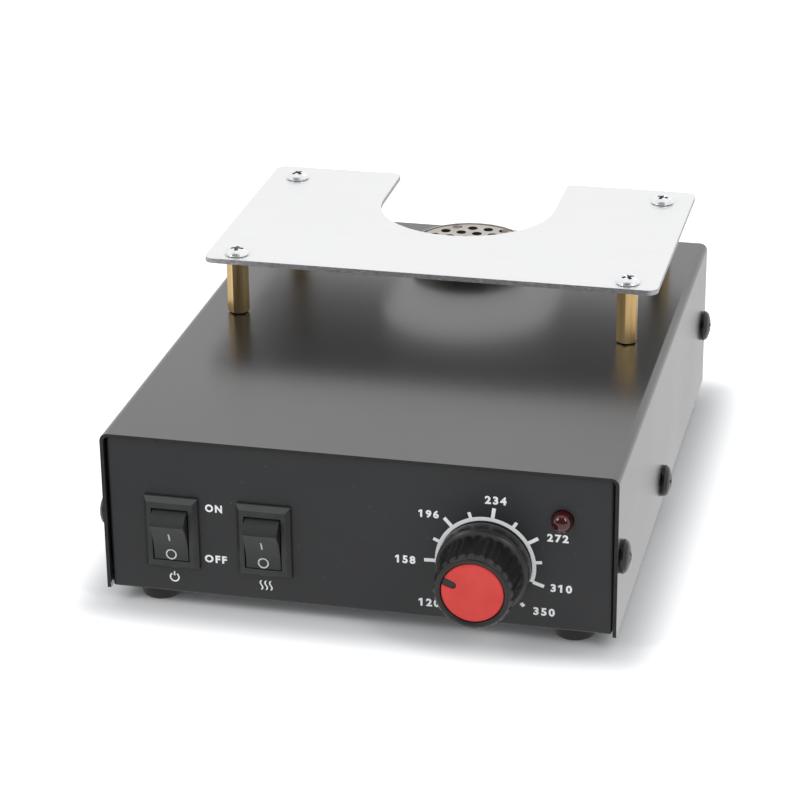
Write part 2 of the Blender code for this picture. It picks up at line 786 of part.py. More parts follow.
def edge_relief(name, side, face, inward):
    """The square edge that is cut off a panel's side, full height, to leave its flange a round bend."""
    bite = PANEL_CORNER_BITE
    edge = side * (CHASSIS_HALF + bite)
    level = face - inward * bite
    centre = (edge - side * PANEL_EDGE_BEND, level + inward * PANEL_EDGE_BEND)
    outline = [
        (
            centre[0] + side * PANEL_EDGE_BEND * math.cos(angle),
            centre[1] - inward * PANEL_EDGE_BEND * math.sin(angle),
        )
        for angle in (math.radians(22.5 * step) for step in range(5))
    ]
    outline += [
        (centre[0], level - inward * PANEL_EDGE_BEND),
        (edge + side * PANEL_EDGE_BEND, level - inward * PANEL_EDGE_BEND),
        (edge + side * PANEL_EDGE_BEND, centre[1]),
    ]
    low = BASE_UNDER - PANEL_EDGE_BEND
    high = PANEL_TOP + PANEL_EDGE_BEND
    place = Matrix.Translation((0, 0, low))
    return flat_outline(name, outline, high - low, place=place, group=CUTTERS)


def build_chassis():
    corners = [
        (REAR_FACE, PANEL_TOP),
        (REAR_FACE, BASE_UNDER),
        (PANEL_FACE, BASE_UNDER),
        (PANEL_FACE, PANEL_TOP),
    ]
    upright_along_x = Matrix(((0, 0, 1, 0), (1, 0, 0, 0), (0, 1, 0, 0), (0, 0, 0, 1)))
    chassis = bent_sheet(
        "chassis",
        corners,
        CHASSIS_BEND,
        2 * CHASSIS_HALF,
        CHASSIS_SHEET,
        "panel_paint",
        upright_along_x,
    )
    join(chassis, chassis_tabs())

    bm = bmesh.new()
    play = SWITCH_CUTOUT_PLAY
    over = 2 * CHASSIS_SHEET
    for x in SWITCH_CENTRE_X.values():
        half_w, half_h = SWITCH_BODY_WIDTH / 2 + play, SWITCH_BODY_HEIGHT / 2 + play
        add_box(
            bm,
            (x - half_w, PANEL_FACE - over, SWITCH_Z - half_h),
            (x + half_w, PANEL_BACK + over, SWITCH_Z + half_h),
        )
    front, back = PANEL_FACE - over, PANEL_BACK + over
    bush = POT_BUSH_RADIUS + HOLE_PLAY
    add_rod(bm, (DIAL_X, front, DIAL_Z), (DIAL_X, back, DIAL_Z), bush, sides=20)
    led_z = COVER_LOW + LED_HEIGHT
    lamp = LED_RADIUS + THREAD_PLAY
    add_rod(bm, (LED_X, front, led_z), (LED_X, back, led_z), lamp, sides=20)
    half_w, half_h = INLET_BODY_WIDTH / 2 + play, INLET_BODY_HEIGHT / 2 + play
    add_box(
        bm,
        (INLET_X - half_w, REAR_BACK - over, INLET_Z - half_h),
        (INLET_X + half_w, REAR_FACE + over, INLET_Z + half_h),
    )
    low, high = BASE_UNDER - over, BASE_TOP + over
    for corner in CORNERS:
        for (x, y), radius in (
            (foot_place(corner), FOOT_STEM_RADIUS),
            (fan_screw_place(corner), FAN_SCREW_RADIUS),
            (spacer_place(corner), SPACER_PIN_RADIUS),
        ):
            add_rod(bm, (x, y, low), (x, y, high), radius + HOLE_PLAY, sides=8)
    for y, z in cover_screw_places().values():
        for side in SIDES.values():
            outer = side * (CHASSIS_HALF + over)
            inner = side * (CHASSIS_HALF - TAB_EDGE - TAB_SHEET - over)
            radius = COVER_SCREW_RADIUS + THREAD_PLAY
            add_rod(bm, (inner, y, z), (outer, y, z), radius, sides=8)
    cut(chassis, helper_from_bmesh("chassis_holes", bm))

    intake = [
        Matrix.Translation((INTAKE_PITCH * (index - (INTAKE_SLOTS - 1) / 2), OUTLET_Y, low))
        @ Matrix.Rotation(math.radians(90), 4, "Z")
        for index in range(INTAKE_SLOTS)
    ]
    cut_slots(chassis, "intake_slot", intake, INTAKE_LENGTH, INTAKE_WIDTH, high - low)
    vents = [
        Matrix.Translation(
            (VENT_X + VENT_PITCH * (index - (VENT_SLOTS - 1) / 2), REAR_FACE + over, INLET_Z)
        )
        @ FACING_FRONT
        @ Matrix.Rotation(math.radians(90), 4, "Z")
        for index in range(VENT_SLOTS)
    ]
    cut_slots(chassis, "vent_slot", vents, VENT_LENGTH, VENT_WIDTH, 2 * over + CHASSIS_SHEET)
    deep = CHASSIS_BEND + CHASSIS_SHEET
    panels = {
        "front": (PANEL_FACE - over, PANEL_FACE + deep),
        "rear": (REAR_FACE - deep, REAR_FACE + over),
    }
    faces = {"front": (PANEL_FACE, 1), "rear": (REAR_FACE, -1)}
    for panel, (face_low, face_high) in panels.items():
        for side_name, side in SIDES.items():
            face, inward = faces[panel]
            cut(chassis, edge_relief(f"{panel}_{side_name}_bend", side, face, inward))
            for level, rise in (("low", -1), ("high", 1)):
                name = f"{panel}_{side_name}_{level}_relief"
                cut(chassis, corner_relief(name, side, rise, face_low, face_high))


def build_feet():
    low_radius = FOOT_RADIUS - FOOT_TAPER
    barb_low = BASE_TOP + SEAT
    profile = [
        (0.0, barb_low + FOOT_BARB_HEIGHT),
        (FOOT_STEM_RADIUS, barb_low + FOOT_BARB_HEIGHT),
        (FOOT_BARB_RADIUS, barb_low + FOOT_BARB_HEIGHT / 4),
        (FOOT_BARB_RADIUS, barb_low),
        (FOOT_STEM_RADIUS, barb_low),
        (FOOT_STEM_RADIUS, FOOT_HEIGHT),
        (FOOT_RADIUS, FOOT_HEIGHT),
    ]
    profile += arc((low_radius - FOOT_EDGE, FOOT_EDGE), FOOT_EDGE, 0, -90, 2)
    profile += [
        (FOOT_DIMPLE_RADIUS, 0.0),
        (FOOT_DIMPLE_RADIUS, FOOT_DIMPLE_DEPTH),
        (0.0, FOOT_DIMPLE_DEPTH),
    ]
    foot = turned("foot", profile, "rubber", sides=12)
    copies_of(
        foot,
        {
            f"foot_{corner}": Matrix.Translation((*foot_place(corner), 0.0))
            for corner in CORNERS
        },
    )


def build_board_plate():
    half = PLATE_WIDTH / 2
    notch_low = OUTLET_Y - NOTCH_SETBACK - NOTCH_RADIUS
    corners = [
        (-half, PLATE_FRONT),
        (half, PLATE_FRONT),
        (half, PLATE_REAR),
        (NOTCH_RADIUS, PLATE_REAR),
        (NOTCH_RADIUS, notch_low),
        (-NOTCH_RADIUS, notch_low),
        (-NOTCH_RADIUS, PLATE_REAR),
        (-half, PLATE_REAR),
    ]
    corner, tip = PLATE_CORNER, NOTCH_TIP
    radii = [corner, corner, corner, tip, NOTCH_RADIUS, NOTCH_RADIUS, tip, corner]
    outline = rounded(corners, radii, 9)
    place = Matrix.Translation((0, 0, PLATE_LOW))
    plate = flat_outline("board_plate", outline, PLATE_SHEET, "plate_metal", place)
    bm = bmesh.new()
    for corner_name in CORNERS:
        x, y = standoff_place(corner_name)
        low, high = PLATE_LOW - PLATE_SHEET, PLATE_TOP + PLATE_SHEET
        add_rod(bm, (x, y, low), (x, y, high), STUD_RADIUS + HOLE_PLAY, sides=8)
    cut(plate, helper_from_bmesh("plate_holes", bm))


def build_standoffs():
    """Hexagonal brass pillars with a threaded stud below and a threaded hole above."""
    corner_radius = STANDOFF_FLATS / 2 / math.cos(math.radians(30))
    end_radius = corner_radius - STANDOFF_CHAMFER * 1.5
    bm = bmesh.new()
    add_hexagon(bm, (0, 0, 0), (0, 0, STANDOFF_LENGTH), STANDOFF_FLATS)
    pillar = object_from_bmesh("standoff", bm, "brass")
    over = 0.2 * STANDOFF_CHAMFER
    blank = turned(
        "standoff_chamfer",
        [
            (0.0, STANDOFF_LENGTH + over),
            (end_radius - over, STANDOFF_LENGTH + over),
            (corner_radius + over, STANDOFF_LENGTH - STANDOFF_CHAMFER),
            (corner_radius + over, STANDOFF_CHAMFER),
            (end_radius - over, -over),
            (0.0, -over),
        ],
        sides=12,
        group=CUTTERS,
    )
    boolean(pillar, blank, "INTERSECT")
    bm = bmesh.new()
    add_rod(bm, (0, 0, -STUD_LENGTH), (0, 0, STANDOFF_LENGTH / 2), STUD_RADIUS, sides=10)
    join(pillar, helper_from_bmesh("standoff_stud", bm))
    bm = bmesh.new()
    hole = STUD_RADIUS + HOLE_PLAY
    bottom = STANDOFF_LENGTH - PLATE_SCREW_LENGTH - HOLE_PLAY
    add_rod(bm, (0, 0, bottom), (0, 0, STANDOFF_LENGTH * 1.1), hole, sides=10)
    cut(pillar, helper_from_bmesh("standoff_hole", bm))
    copies_of(
        pillar,
        {
            f"standoff_{corner}": Matrix.Translation((*standoff_place(corner), COVER_TOP + SEAT))
            @ Matrix.Rotation(math.radians(STANDOFF_TURNS[corner]), 4, "Z")
            for corner in CORNERS
        },
    )

    bm = bmesh.new()
    add_hexagon(bm, (0, 0, -STUD_NUT_HEIGHT), (0, 0, 0), STANDOFF_FLATS)
    nut = object_from_bmesh("standoff_nut", bm, "bright_steel")
    bm = bmesh.new()
    over = STUD_NUT_HEIGHT / 4
    radius = STUD_RADIUS + THREAD_PLAY
    add_rod(bm, (0, 0, -STUD_NUT_HEIGHT - over), (0, 0, over), radius, sides=10)
    cut(nut, helper_from_bmesh("standoff_nut_hole", bm))
    copies_of(
        nut,
        {
            f"standoff_nut_{corner}": Matrix.Translation(
                (*standoff_place(corner), COVER_UNDER - SEAT)
            )
            for corner in CORNERS
        },
    )


def build_screws():
    plate_screw = screw_shape(
        "plate_screw",
        PLATE_SCREW_HEAD_RADIUS,
        PLATE_SCREW_HEAD_HEIGHT,
        PLATE_SCREW_RIM,
        STUD_RADIUS,
        PLATE_SCREW_LENGTH,
        "bright_steel",
    )
    copies_of(
        plate_screw,
        {
            f"plate_screw_{corner}": Matrix.Translation((*standoff_place(corner), PLATE_TOP + SEAT))
            @ Matrix.Rotation(math.radians(STANDOFF_TURNS[corner] * 3), 4, "Z")
            for corner in CORNERS
        },
    )
    cover_screw = screw_shape(
        "cover_screw",
        COVER_SCREW_HEAD_RADIUS,
        COVER_SCREW_HEAD_HEIGHT,
        COVER_SCREW_RIM,
        COVER_SCREW_RADIUS,
        COVER_SCREW_LENGTH,
        "black_steel",
    )
    places = {}
    for side_name, side in SIDES.items():
        for row, (y, z) in cover_screw_places().items():
            x = side * (CASE_WIDTH / 2 + SEAT)
            place = Matrix.Translation((x, y, z)) @ FACING_SIDE[side_name]
            places[f"cover_screw_{side_name}_{row}"] = place
    copies_of(cover_screw, places)


def rocker_outline():
    """The rocker's side view: two end walls about the pivot, a dished face and a narrower back."""
    half = ROCKER_HALF_SPAN
    upper = arc((0, 0), ROCKER_RADIUS, half + ROCKER_END_ARC, half, 4)
    lower = arc((0, 0), ROCKER_RADIUS, -half, -half - ROCKER_END_ARC, 4)
    face = ROCKER_RADIUS * math.cos(math.radians(half)) - ROCKER_DISH
    dish = [(face, 0.0)]
    back = [(-ROCKER_BACK, -ROCKER_BACK_HALF), (-ROCKER_BACK, ROCKER_BACK_HALF)]
    return upper + dish + lower + back


def build_switch(name, x):
    """One switch: its body with a bevelled bezel, and the rocker on its own pivot."""
    bm = bmesh.new()
    lip = PANEL_FACE - SEAT - BEZEL_LIP
    half_w, half_h = BEZEL_WIDTH / 2, BEZEL_HEIGHT / 2
    add_box(
        bm,
        (x - half_w, lip, SWITCH_Z - half_h),
        (x + half_w, PANEL_FACE - SEAT, SWITCH_Z + half_h),
    )
    bm.faces.ensure_lookup_table()
    face = min(bm.faces, key=lambda item: item.calc_center_median().y)
    bmesh.ops.inset_region(bm, faces=[face], thickness=BEZEL_BEVEL, depth=BEZEL_RISE - BEZEL_LIP)
    body = object_from_bmesh(f"{name}_switch_body", bm, "switch_plastic")

    bm = bmesh.new()
    half_w, half_h = SWITCH_BODY_WIDTH / 2, SWITCH_BODY_HEIGHT / 2
    back = PANEL_FACE + SWITCH_BODY_DEPTH
    add_box(
        bm,
        (x - half_w, lip, SWITCH_Z - half_h),
        (x + half_w, back, SWITCH_Z + half_h),
    )
    join(body, helper_from_bmesh(f"{name}_switch_box", bm))
    bm = bmesh.new()
    for end in (-1, 1):
        z = SWITCH_Z + end * BLADE_SPAN / 2
        add_box(
            bm,
            (x - BLADE_WIDTH / 2, back - BLADE_SHEET, z - BLADE_SHEET / 2),
            (x + BLADE_WIDTH / 2, back + BLADE_LENGTH, z + BLADE_SHEET / 2),
        )
    join(body, helper_from_bmesh(f"{name}_switch_blades", bm))

    wide = ROCKER_WIDTH / 2 + RUNNING_GAP
    throat_half = math.sqrt(ROCKER_RADIUS**2 - (ROCKER_PIVOT_DEPTH - BEZEL_THROAT) ** 2) + RUNNING_GAP
    chamber_half = ROCKER_RADIUS + RUNNING_GAP
    swing = math.hypot(ROCKER_BACK, ROCKER_BACK_HALF) + RUNNING_GAP
    bm = bmesh.new()
    add_box(
        bm,
        (x - wide, BEZEL_FACE - BEZEL_RISE, SWITCH_Z - throat_half),
        (x + wide, ROCKER_PIVOT_Y, SWITCH_Z + throat_half),
    )
    cut(body, helper_from_bmesh(f"{name}_switch_throat", bm))
    bm = bmesh.new()
    add_box(
        bm,
        (x - wide, BEZEL_FACE + BEZEL_THROAT, SWITCH_Z - chamber_half),
        (x + wide, ROCKER_PIVOT_Y + swing, SWITCH_Z + chamber_half),
    )
    cut(body, helper_from_bmesh(f"{name}_switch_chamber", bm))
    bm = bmesh.new()
    pin_half = ROCKER_WIDTH / 2 + ROCKER_PIN_REACH
    reach = pin_half + RUNNING_GAP
    radius = ROCKER_PIN_RADIUS + RUNNING_GAP
    start, end = (x - reach, ROCKER_PIVOT_Y, SWITCH_Z), (x + reach, ROCKER_PIVOT_Y, SWITCH_Z)
    add_rod(bm, start, end, radius, sides=12)
    cut(body, helper_from_bmesh(f"{name}_switch_sockets", bm))

    pivot = bpy.data.objects.new(f"{name}_rocker_pivot", None)
    PARTS.objects.link(pivot)
    pivot.location = (x, ROCKER_PIVOT_Y, SWITCH_Z)
    pivot.rotation_euler = (math.radians(ROCKER_TILT), 0, 0)
    side_view = Matrix(((0, 0, -1, 0), (-1, 0, 0, 0), (0, 1, 0, 0), (0, 0, 0, 1)))
    shift = Matrix.Translation((0, 0, -ROCKER_WIDTH / 2))
    rocker = flat_outline(
        f"{name}_rocker", rocker_outline(), ROCKER_WIDTH, "switch_plastic", side_view @ shift
    )
    rocker.parent = pivot
    bm = bmesh.new()
    add_rod(bm, (-pin_half, 0, 0), (pin_half, 0, 0), ROCKER_PIN_RADIUS, sides=12)
    pins = helper_from_bmesh(f"{name}_rocker_pins", bm)
    pins.parent = pivot
    join(rocker, pins)


def knob_outside():
    """The knob's outside from its front face down: rim, tapered grip, step and skirt."""
    skirt_top = KNOB_BACK_GAP + KNOB_SKIRT_HEIGHT
    edge = CAP_EDGE
    return [
        (0.0, KNOB_REACH),
        (KNOB_RIM_RADIUS, KNOB_REACH),
        (KNOB_GRIP_RADIUS - KNOB_GRIP_TAPER, KNOB_REACH - KNOB_RIM_BEVEL * 2),
        (KNOB_GRIP_RADIUS, skirt_top + KNOB_STEP_HEIGHT),
        (KNOB_SKIRT_RADIUS - edge, skirt_top),
        (KNOB_SKIRT_RADIUS, skirt_top - edge),
        (KNOB_SKIRT_RADIUS, KNOB_BACK_GAP),
        (0.0, KNOB_BACK_GAP),
    ]


def knob_hollows():
    """What is taken out of the knob: the cap's seat in front, the hollow back and the shaft's hole."""
    over = KNOB_RIM_BEVEL
    seat = CAP_RADIUS + SEAT
    floor = KNOB_REACH - CAP_HEIGHT - SEAT
    recess_top = KNOB_BACK_GAP + KNOB_RECESS_DEPTH
    front = [(0.0, KNOB_REACH + over), (seat + over, KNOB_REACH + over), (seat, KNOB_REACH - CAP_EDGE)]
    front += [(seat, floor), (0.0, floor)]
    bore = SHAFT_RADIUS + SEAT
    back = [(0.0, recess_top + SHAFT_SOCKET), (bore, recess_top + SHAFT_SOCKET), (bore, recess_top)]
    back += [(KNOB_RECESS_RADIUS, recess_top), (KNOB_RECESS_RADIUS, KNOB_BACK_GAP - over)]
    back += [(0.0, KNOB_BACK_GAP - over)]
    return front, back


def build_knob():
    """The knob, its cap and the shaft, all on one empty that stands on the turning axis."""
    axis = bpy.data.objects.new("knob_axis", None)
    PARTS.objects.link(axis)
    axis.matrix_world = (
        Matrix.Translation((DIAL_X, PANEL_FACE, DIAL_Z))
        @ FACING_FRONT
        @ Matrix.Rotation(math.radians(-KNOB_REST_ANGLE), 4, "Z")
    )
    knob = turned("temperature_knob", knob_outside(), "knob_plastic", sides=48)
    knob.parent = axis
    front, back = knob_hollows()
    for name, profile, sides in (("knob_cap_seat", front, 40), ("knob_hollow", back, 20)):
        hollow = turned(name, profile, sides=sides, group=CUTTERS)
        hollow.parent = axis
        cut(knob, hollow)
    grip_low = KNOB_BACK_GAP + KNOB_SKIRT_HEIGHT + KNOB_STEP_HEIGHT
    bm = bmesh.new()
    for index in range(KNOB_FLUTES):
        angle = math.radians(360 * (index + 0.5) / KNOB_FLUTES)
        low_reach = KNOB_GRIP_RADIUS + KNOB_FLUTE_RADIUS - KNOB_FLUTE_DEPTH
        high_reach = low_reach - KNOB_GRIP_TAPER
        direction = Vector((math.cos(angle), math.sin(angle), 0))
        start = direction * low_reach + Vector((0, 0, grip_low))
        end = direction * high_reach + Vector((0, 0, KNOB_REACH + KNOB_RIM_BEVEL))
        add_rod(bm, start, end, KNOB_FLUTE_RADIUS, sides=6)
    flutes = helper_from_bmesh("knob_flutes", bm)
    flutes.parent = axis
    cut(knob, flutes)

    cap_low = KNOB_REACH - CAP_HEIGHT
    cap_profile = [
        (0.0, KNOB_REACH),
        (CAP_RADIUS * 0.6, KNOB_REACH - CAP_CROWN * 0.3),
        (CAP_RADIUS - CAP_EDGE, KNOB_REACH - CAP_CROWN),
        (CAP_RADIUS, KNOB_REACH - CAP_CROWN - CAP_EDGE),
        (CAP_RADIUS, cap_low),
        (0.0, cap_low),
    ]
    cap = turned("knob_cap", cap_profile, "red_plastic", sides=40)
    cap.parent = axis
    inner = CAP_RADIUS - POINTER_LENGTH + POINTER_WIDTH / 2
    slot = arc((0, inner), POINTER_WIDTH / 2, 180, 360, 8)
    slot += [(POINTER_WIDTH / 2, CAP_RADIUS * 1.2), (-POINTER_WIDTH / 2, CAP_RADIUS * 1.2)]
    pointer = flat_outline("pointer_slot", slot, 3 * CAP_HEIGHT, group=CUTTERS)
    pointer.parent = axis
    pointer.location = (0, 0, cap_low - CAP_HEIGHT)
    cut(cap, pointer)

    bm = bmesh.new()
    tail = -CHASSIS_SHEET - SHAFT_TAIL
    tip = KNOB_BACK_GAP + KNOB_RECESS_DEPTH + SHAFT_SOCKET - SEAT
    add_rod(bm, (0, 0, tail), (0, 0, tip), SHAFT_RADIUS, sides=20)
    shaft = object_from_bmesh("potentiometer_shaft", bm, "bright_steel")
    shaft.parent = axis


def build_potentiometer():
    place = Matrix.Translation((DIAL_X, PANEL_FACE, DIAL_Z)) @ FACING_FRONT
    seat = -CHASSIS_SHEET - SEAT
    bore = SHAFT_RADIUS + RUNNING_GAP
    floor = -CHASSIS_SHEET - SHAFT_TAIL - RUNNING_GAP
    profile = [
        (bore, POT_BUSH_LENGTH),
        (POT_BUSH_RADIUS, POT_BUSH_LENGTH),
        (POT_BUSH_RADIUS, seat),
        (POT_RADIUS, seat),
        (POT_RADIUS, seat - POT_DEPTH),
        (0.0, seat - POT_DEPTH),
        (0.0, floor),
        (bore, floor),
    ]
    bm = bmesh.new()
    points = [bm.verts.new((radius, 0.0, height)) for radius, height in profile]
    for first, second in zip(points, points[1:] + points[:1]):
        if first.co.x > 0 or second.co.x > 0:
            bm.edges.new((first, second))
    mesh = bpy.data.meshes.new("potentiometer_body")
    bm.to_mesh(mesh)
    bm.free()
    body = object_from("potentiometer_body", mesh, "transformer_steel", place)
    spin = body.modifiers.new("turn", "SCREW")
    spin.angle = math.radians(360)
    spin.steps = 20
    spin.render_steps = 20
    spin.use_merge_vertices = True
    spin.merge_threshold = 0.00001
    bm = bmesh.new()
    for index in (-1, 0, 1):
        x = index * POT_LUG_PITCH
        low_y = -POT_RADIUS - POT_LUG_DROP
        add_box(
            bm,
            (x - POT_LUG_WIDTH / 2, low_y, seat - POT_DEPTH / 2 - POT_LUG_SHEET),
            (x + POT_LUG_WIDTH / 2, -POT_RADIUS / 2, seat - POT_DEPTH / 2),
        )
    join(body, helper_from_bmesh("potentiometer_lugs", bm, place))

    bm = bmesh.new()
    add_hexagon(bm, (0, 0, SEAT), (0, 0, SEAT + POT_NUT_HEIGHT), POT_NUT_FLATS)
    nut = object_from_bmesh("potentiometer_nut", bm, "bright_steel", place)
    bm = bmesh.new()
    hole = POT_BUSH_RADIUS + THREAD_PLAY
    add_rod(bm, (0, 0, -POT_NUT_HEIGHT), (0, 0, 2 * POT_NUT_HEIGHT), hole, sides=20)
    cut(nut, helper_from_bmesh("potentiometer_nut_hole", bm, place))


def build_indicator_led():
    seat = -CHASSIS_SHEET - SEAT
    dome = arc((0.0, LED_REACH - LED_RADIUS), LED_RADIUS, 90, 0, 5)
    profile = dome + [
        (LED_RADIUS, seat),
        (LED_FLANGE_RADIUS, seat),
        (LED_FLANGE_RADIUS, seat - LED_FLANGE_HEIGHT),
        (0.0, seat - LED_FLANGE_HEIGHT),
    ]
    profile[0] = (0.0, LED_REACH)
    place = Matrix.Translation((LED_X, PANEL_FACE, COVER_LOW + LED_HEIGHT)) @ FACING_FRONT
    led = turned("indicator_led", profile, "red_lens", place, sides=20)
    bm = bmesh.new()
    top = seat - LED_FLANGE_HEIGHT / 2
    for end in (-1, 1):
        x = end * LED_LEG_SPAN / 2
        add_rod(bm, (x, 0, top - LED_LEG_LENGTH), (x, 0, top), LED_LEG_RADIUS, sides=6)
    join(led, helper_from_bmesh("led_legs", bm, place))


def hole_centres():
    """Centres of a hexagonal field of holes, ring by ring from the middle."""
    centres = [(0.0, 0.0)]
    for ring in range(1, DISC_HOLE_RINGS + 1):
        for side in range(6):
            start = Vector((math.cos(math.radians(60 * side)), math.sin(math.radians(60 * side))))
            turn = math.radians(60 * (side + 2))
            step = Vector((math.cos(turn), math.sin(turn)))
            for index in range(ring):
                centres.append(tuple((start * ring + step * index) * DISC_HOLE_PITCH))
    return centres


def build_outlet():
    """The barrel that carries the perforated ceramic disc, with the heater inside it."""
    place = Matrix.Translation((0, OUTLET_Y, 0))
    inner = BARREL_RADIUS - BARREL_WALL
    ledge = CORE_RADIUS - CORE_LEDGE
    barrel = turned(
        "heater_barrel",
        [
            (inner, BARREL_TOP),
            (BARREL_RADIUS, BARREL_TOP),
            (BARREL_RADIUS, FLANGE_TOP - BARREL_FLANGE / 2),
            (ledge, FLANGE_TOP - BARREL_FLANGE / 2),
            (ledge, FLANGE_TOP),
            (inner, FLANGE_TOP),
        ],
        "barrel_steel",
        place,
        sides=28,
    )
    bm = bmesh.new()
    half = FAN_SIZE / 2
    add_box(bm, (-half, -half, FLANGE_LOW), (half, half, FLANGE_TOP - BARREL_FLANGE / 4))
    flange = helper_from_bmesh("barrel_flange", bm, place)
    bm = bmesh.new()
    over = BARREL_FLANGE
    add_rod(bm, (0, 0, FLANGE_LOW - over), (0, 0, FLANGE_TOP + over), ledge, sides=28)
    cut(flange, helper_from_bmesh("barrel_flange_bore", bm, place))
    join(barrel, flange)
    bm = bmesh.new()
    for corner in CORNERS:
        x, y = fan_screw_place(corner)
        low = FLANGE_LOW + BARREL_FLANGE / 4
        high = FLANGE_TOP + BARREL_BOSS_HEIGHT
        add_rod(bm, (x, y, low), (x, y, high), BARREL_BOSS_RADIUS, sides=10)
    join(barrel, helper_from_bmesh("barrel_bosses", bm))
    bm = bmesh.new()
    for corner in CORNERS:
        x, y = fan_screw_place(corner)
        low, high = FLANGE_LOW - BARREL_FLANGE, FLANGE_TOP + 2 * BARREL_BOSS_HEIGHT
        add_rod(bm, (x, y, low), (x, y, high), FAN_SCREW_RADIUS + THREAD_PLAY, sides=8)
    pin_z = FLANGE_TOP + SEAT + CORE_PIN_HEIGHT
    for side in SIDES.values():
        x = side * CORE_PIN_SPAN / 2
        far = OUTLET_Y - BARREL_RADIUS - CORE_PIN_REACH
        near = OUTLET_Y - BARREL_RADIUS / 2
        radius = CORE_PIN_RADIUS + HOLE_PLAY
        add_rod(bm, (x, far, pin_z), (x, near, pin_z), radius, sides=8)
    cut(barrel, helper_from_bmesh("barrel_holes", bm))

    bm = bmesh.new()
    add_rod(bm, (0, 0, DISC_LOW), (0, 0, DISC_TOP), DISC_RADIUS, sides=40)
    turn = Matrix.Rotation(math.radians(DISC_TURN), 4, "Z")
    disc = object_from_bmesh("outlet_disc", bm, "ceramic", place @ turn)
    bm = bmesh.new()
    over = DISC_THICKNESS / 4
    for x, y in hole_centres():
        add_rod(bm, (x, y, DISC_LOW - over), (x, y, DISC_TOP + over), DISC_HOLE_RADIUS, sides=8)
    holes = helper_from_bmesh("disc_holes", bm, disc.matrix_world.copy())
    cut(disc, holes)

    core_low, core_high = FLANGE_TOP + SEAT, DISC_LOW - SEAT
    bm = bmesh.new()
    thin = CORE_SHEET / 2
    add_box(bm, (-CORE_RADIUS, -thin, core_low), (CORE_RADIUS, thin, core_high))
    core = object_from_bmesh("heater_core", bm, "mica", place)
    bm = bmesh.new()
    add_box(bm, (-thin, -CORE_RADIUS, core_low), (thin, CORE_RADIUS, core_high))
    join(core, helper_from_bmesh("core_cross_plate", bm, place))
    bm = bmesh.new()
    for side in SIDES.values():
        x = side * CORE_PIN_SPAN / 2
        far = (x, -BARREL_RADIUS - CORE_PIN_REACH, pin_z)
        add_rod(bm, far, (x, thin / 2, pin_z), CORE_PIN_RADIUS, sides=8)
    join(core, helper_from_bmesh("core_pins", bm, place))

    reach = CORE_RADIUS + COIL_WIRE_RADIUS + SEAT
    start = core_low + COIL_START
    points = []
    for index in range(COIL_TURNS * COIL_POINTS_PER_TURN + 1):
        turns = index / COIL_POINTS_PER_TURN
        angle = math.radians(360 * turns)
        points.append((reach * math.cos(angle), reach * math.sin(angle), start + turns * COIL_PITCH))
    wire("heater_coil", points, COIL_WIRE_RADIUS, "coil_wire", resolution=0, place=place)


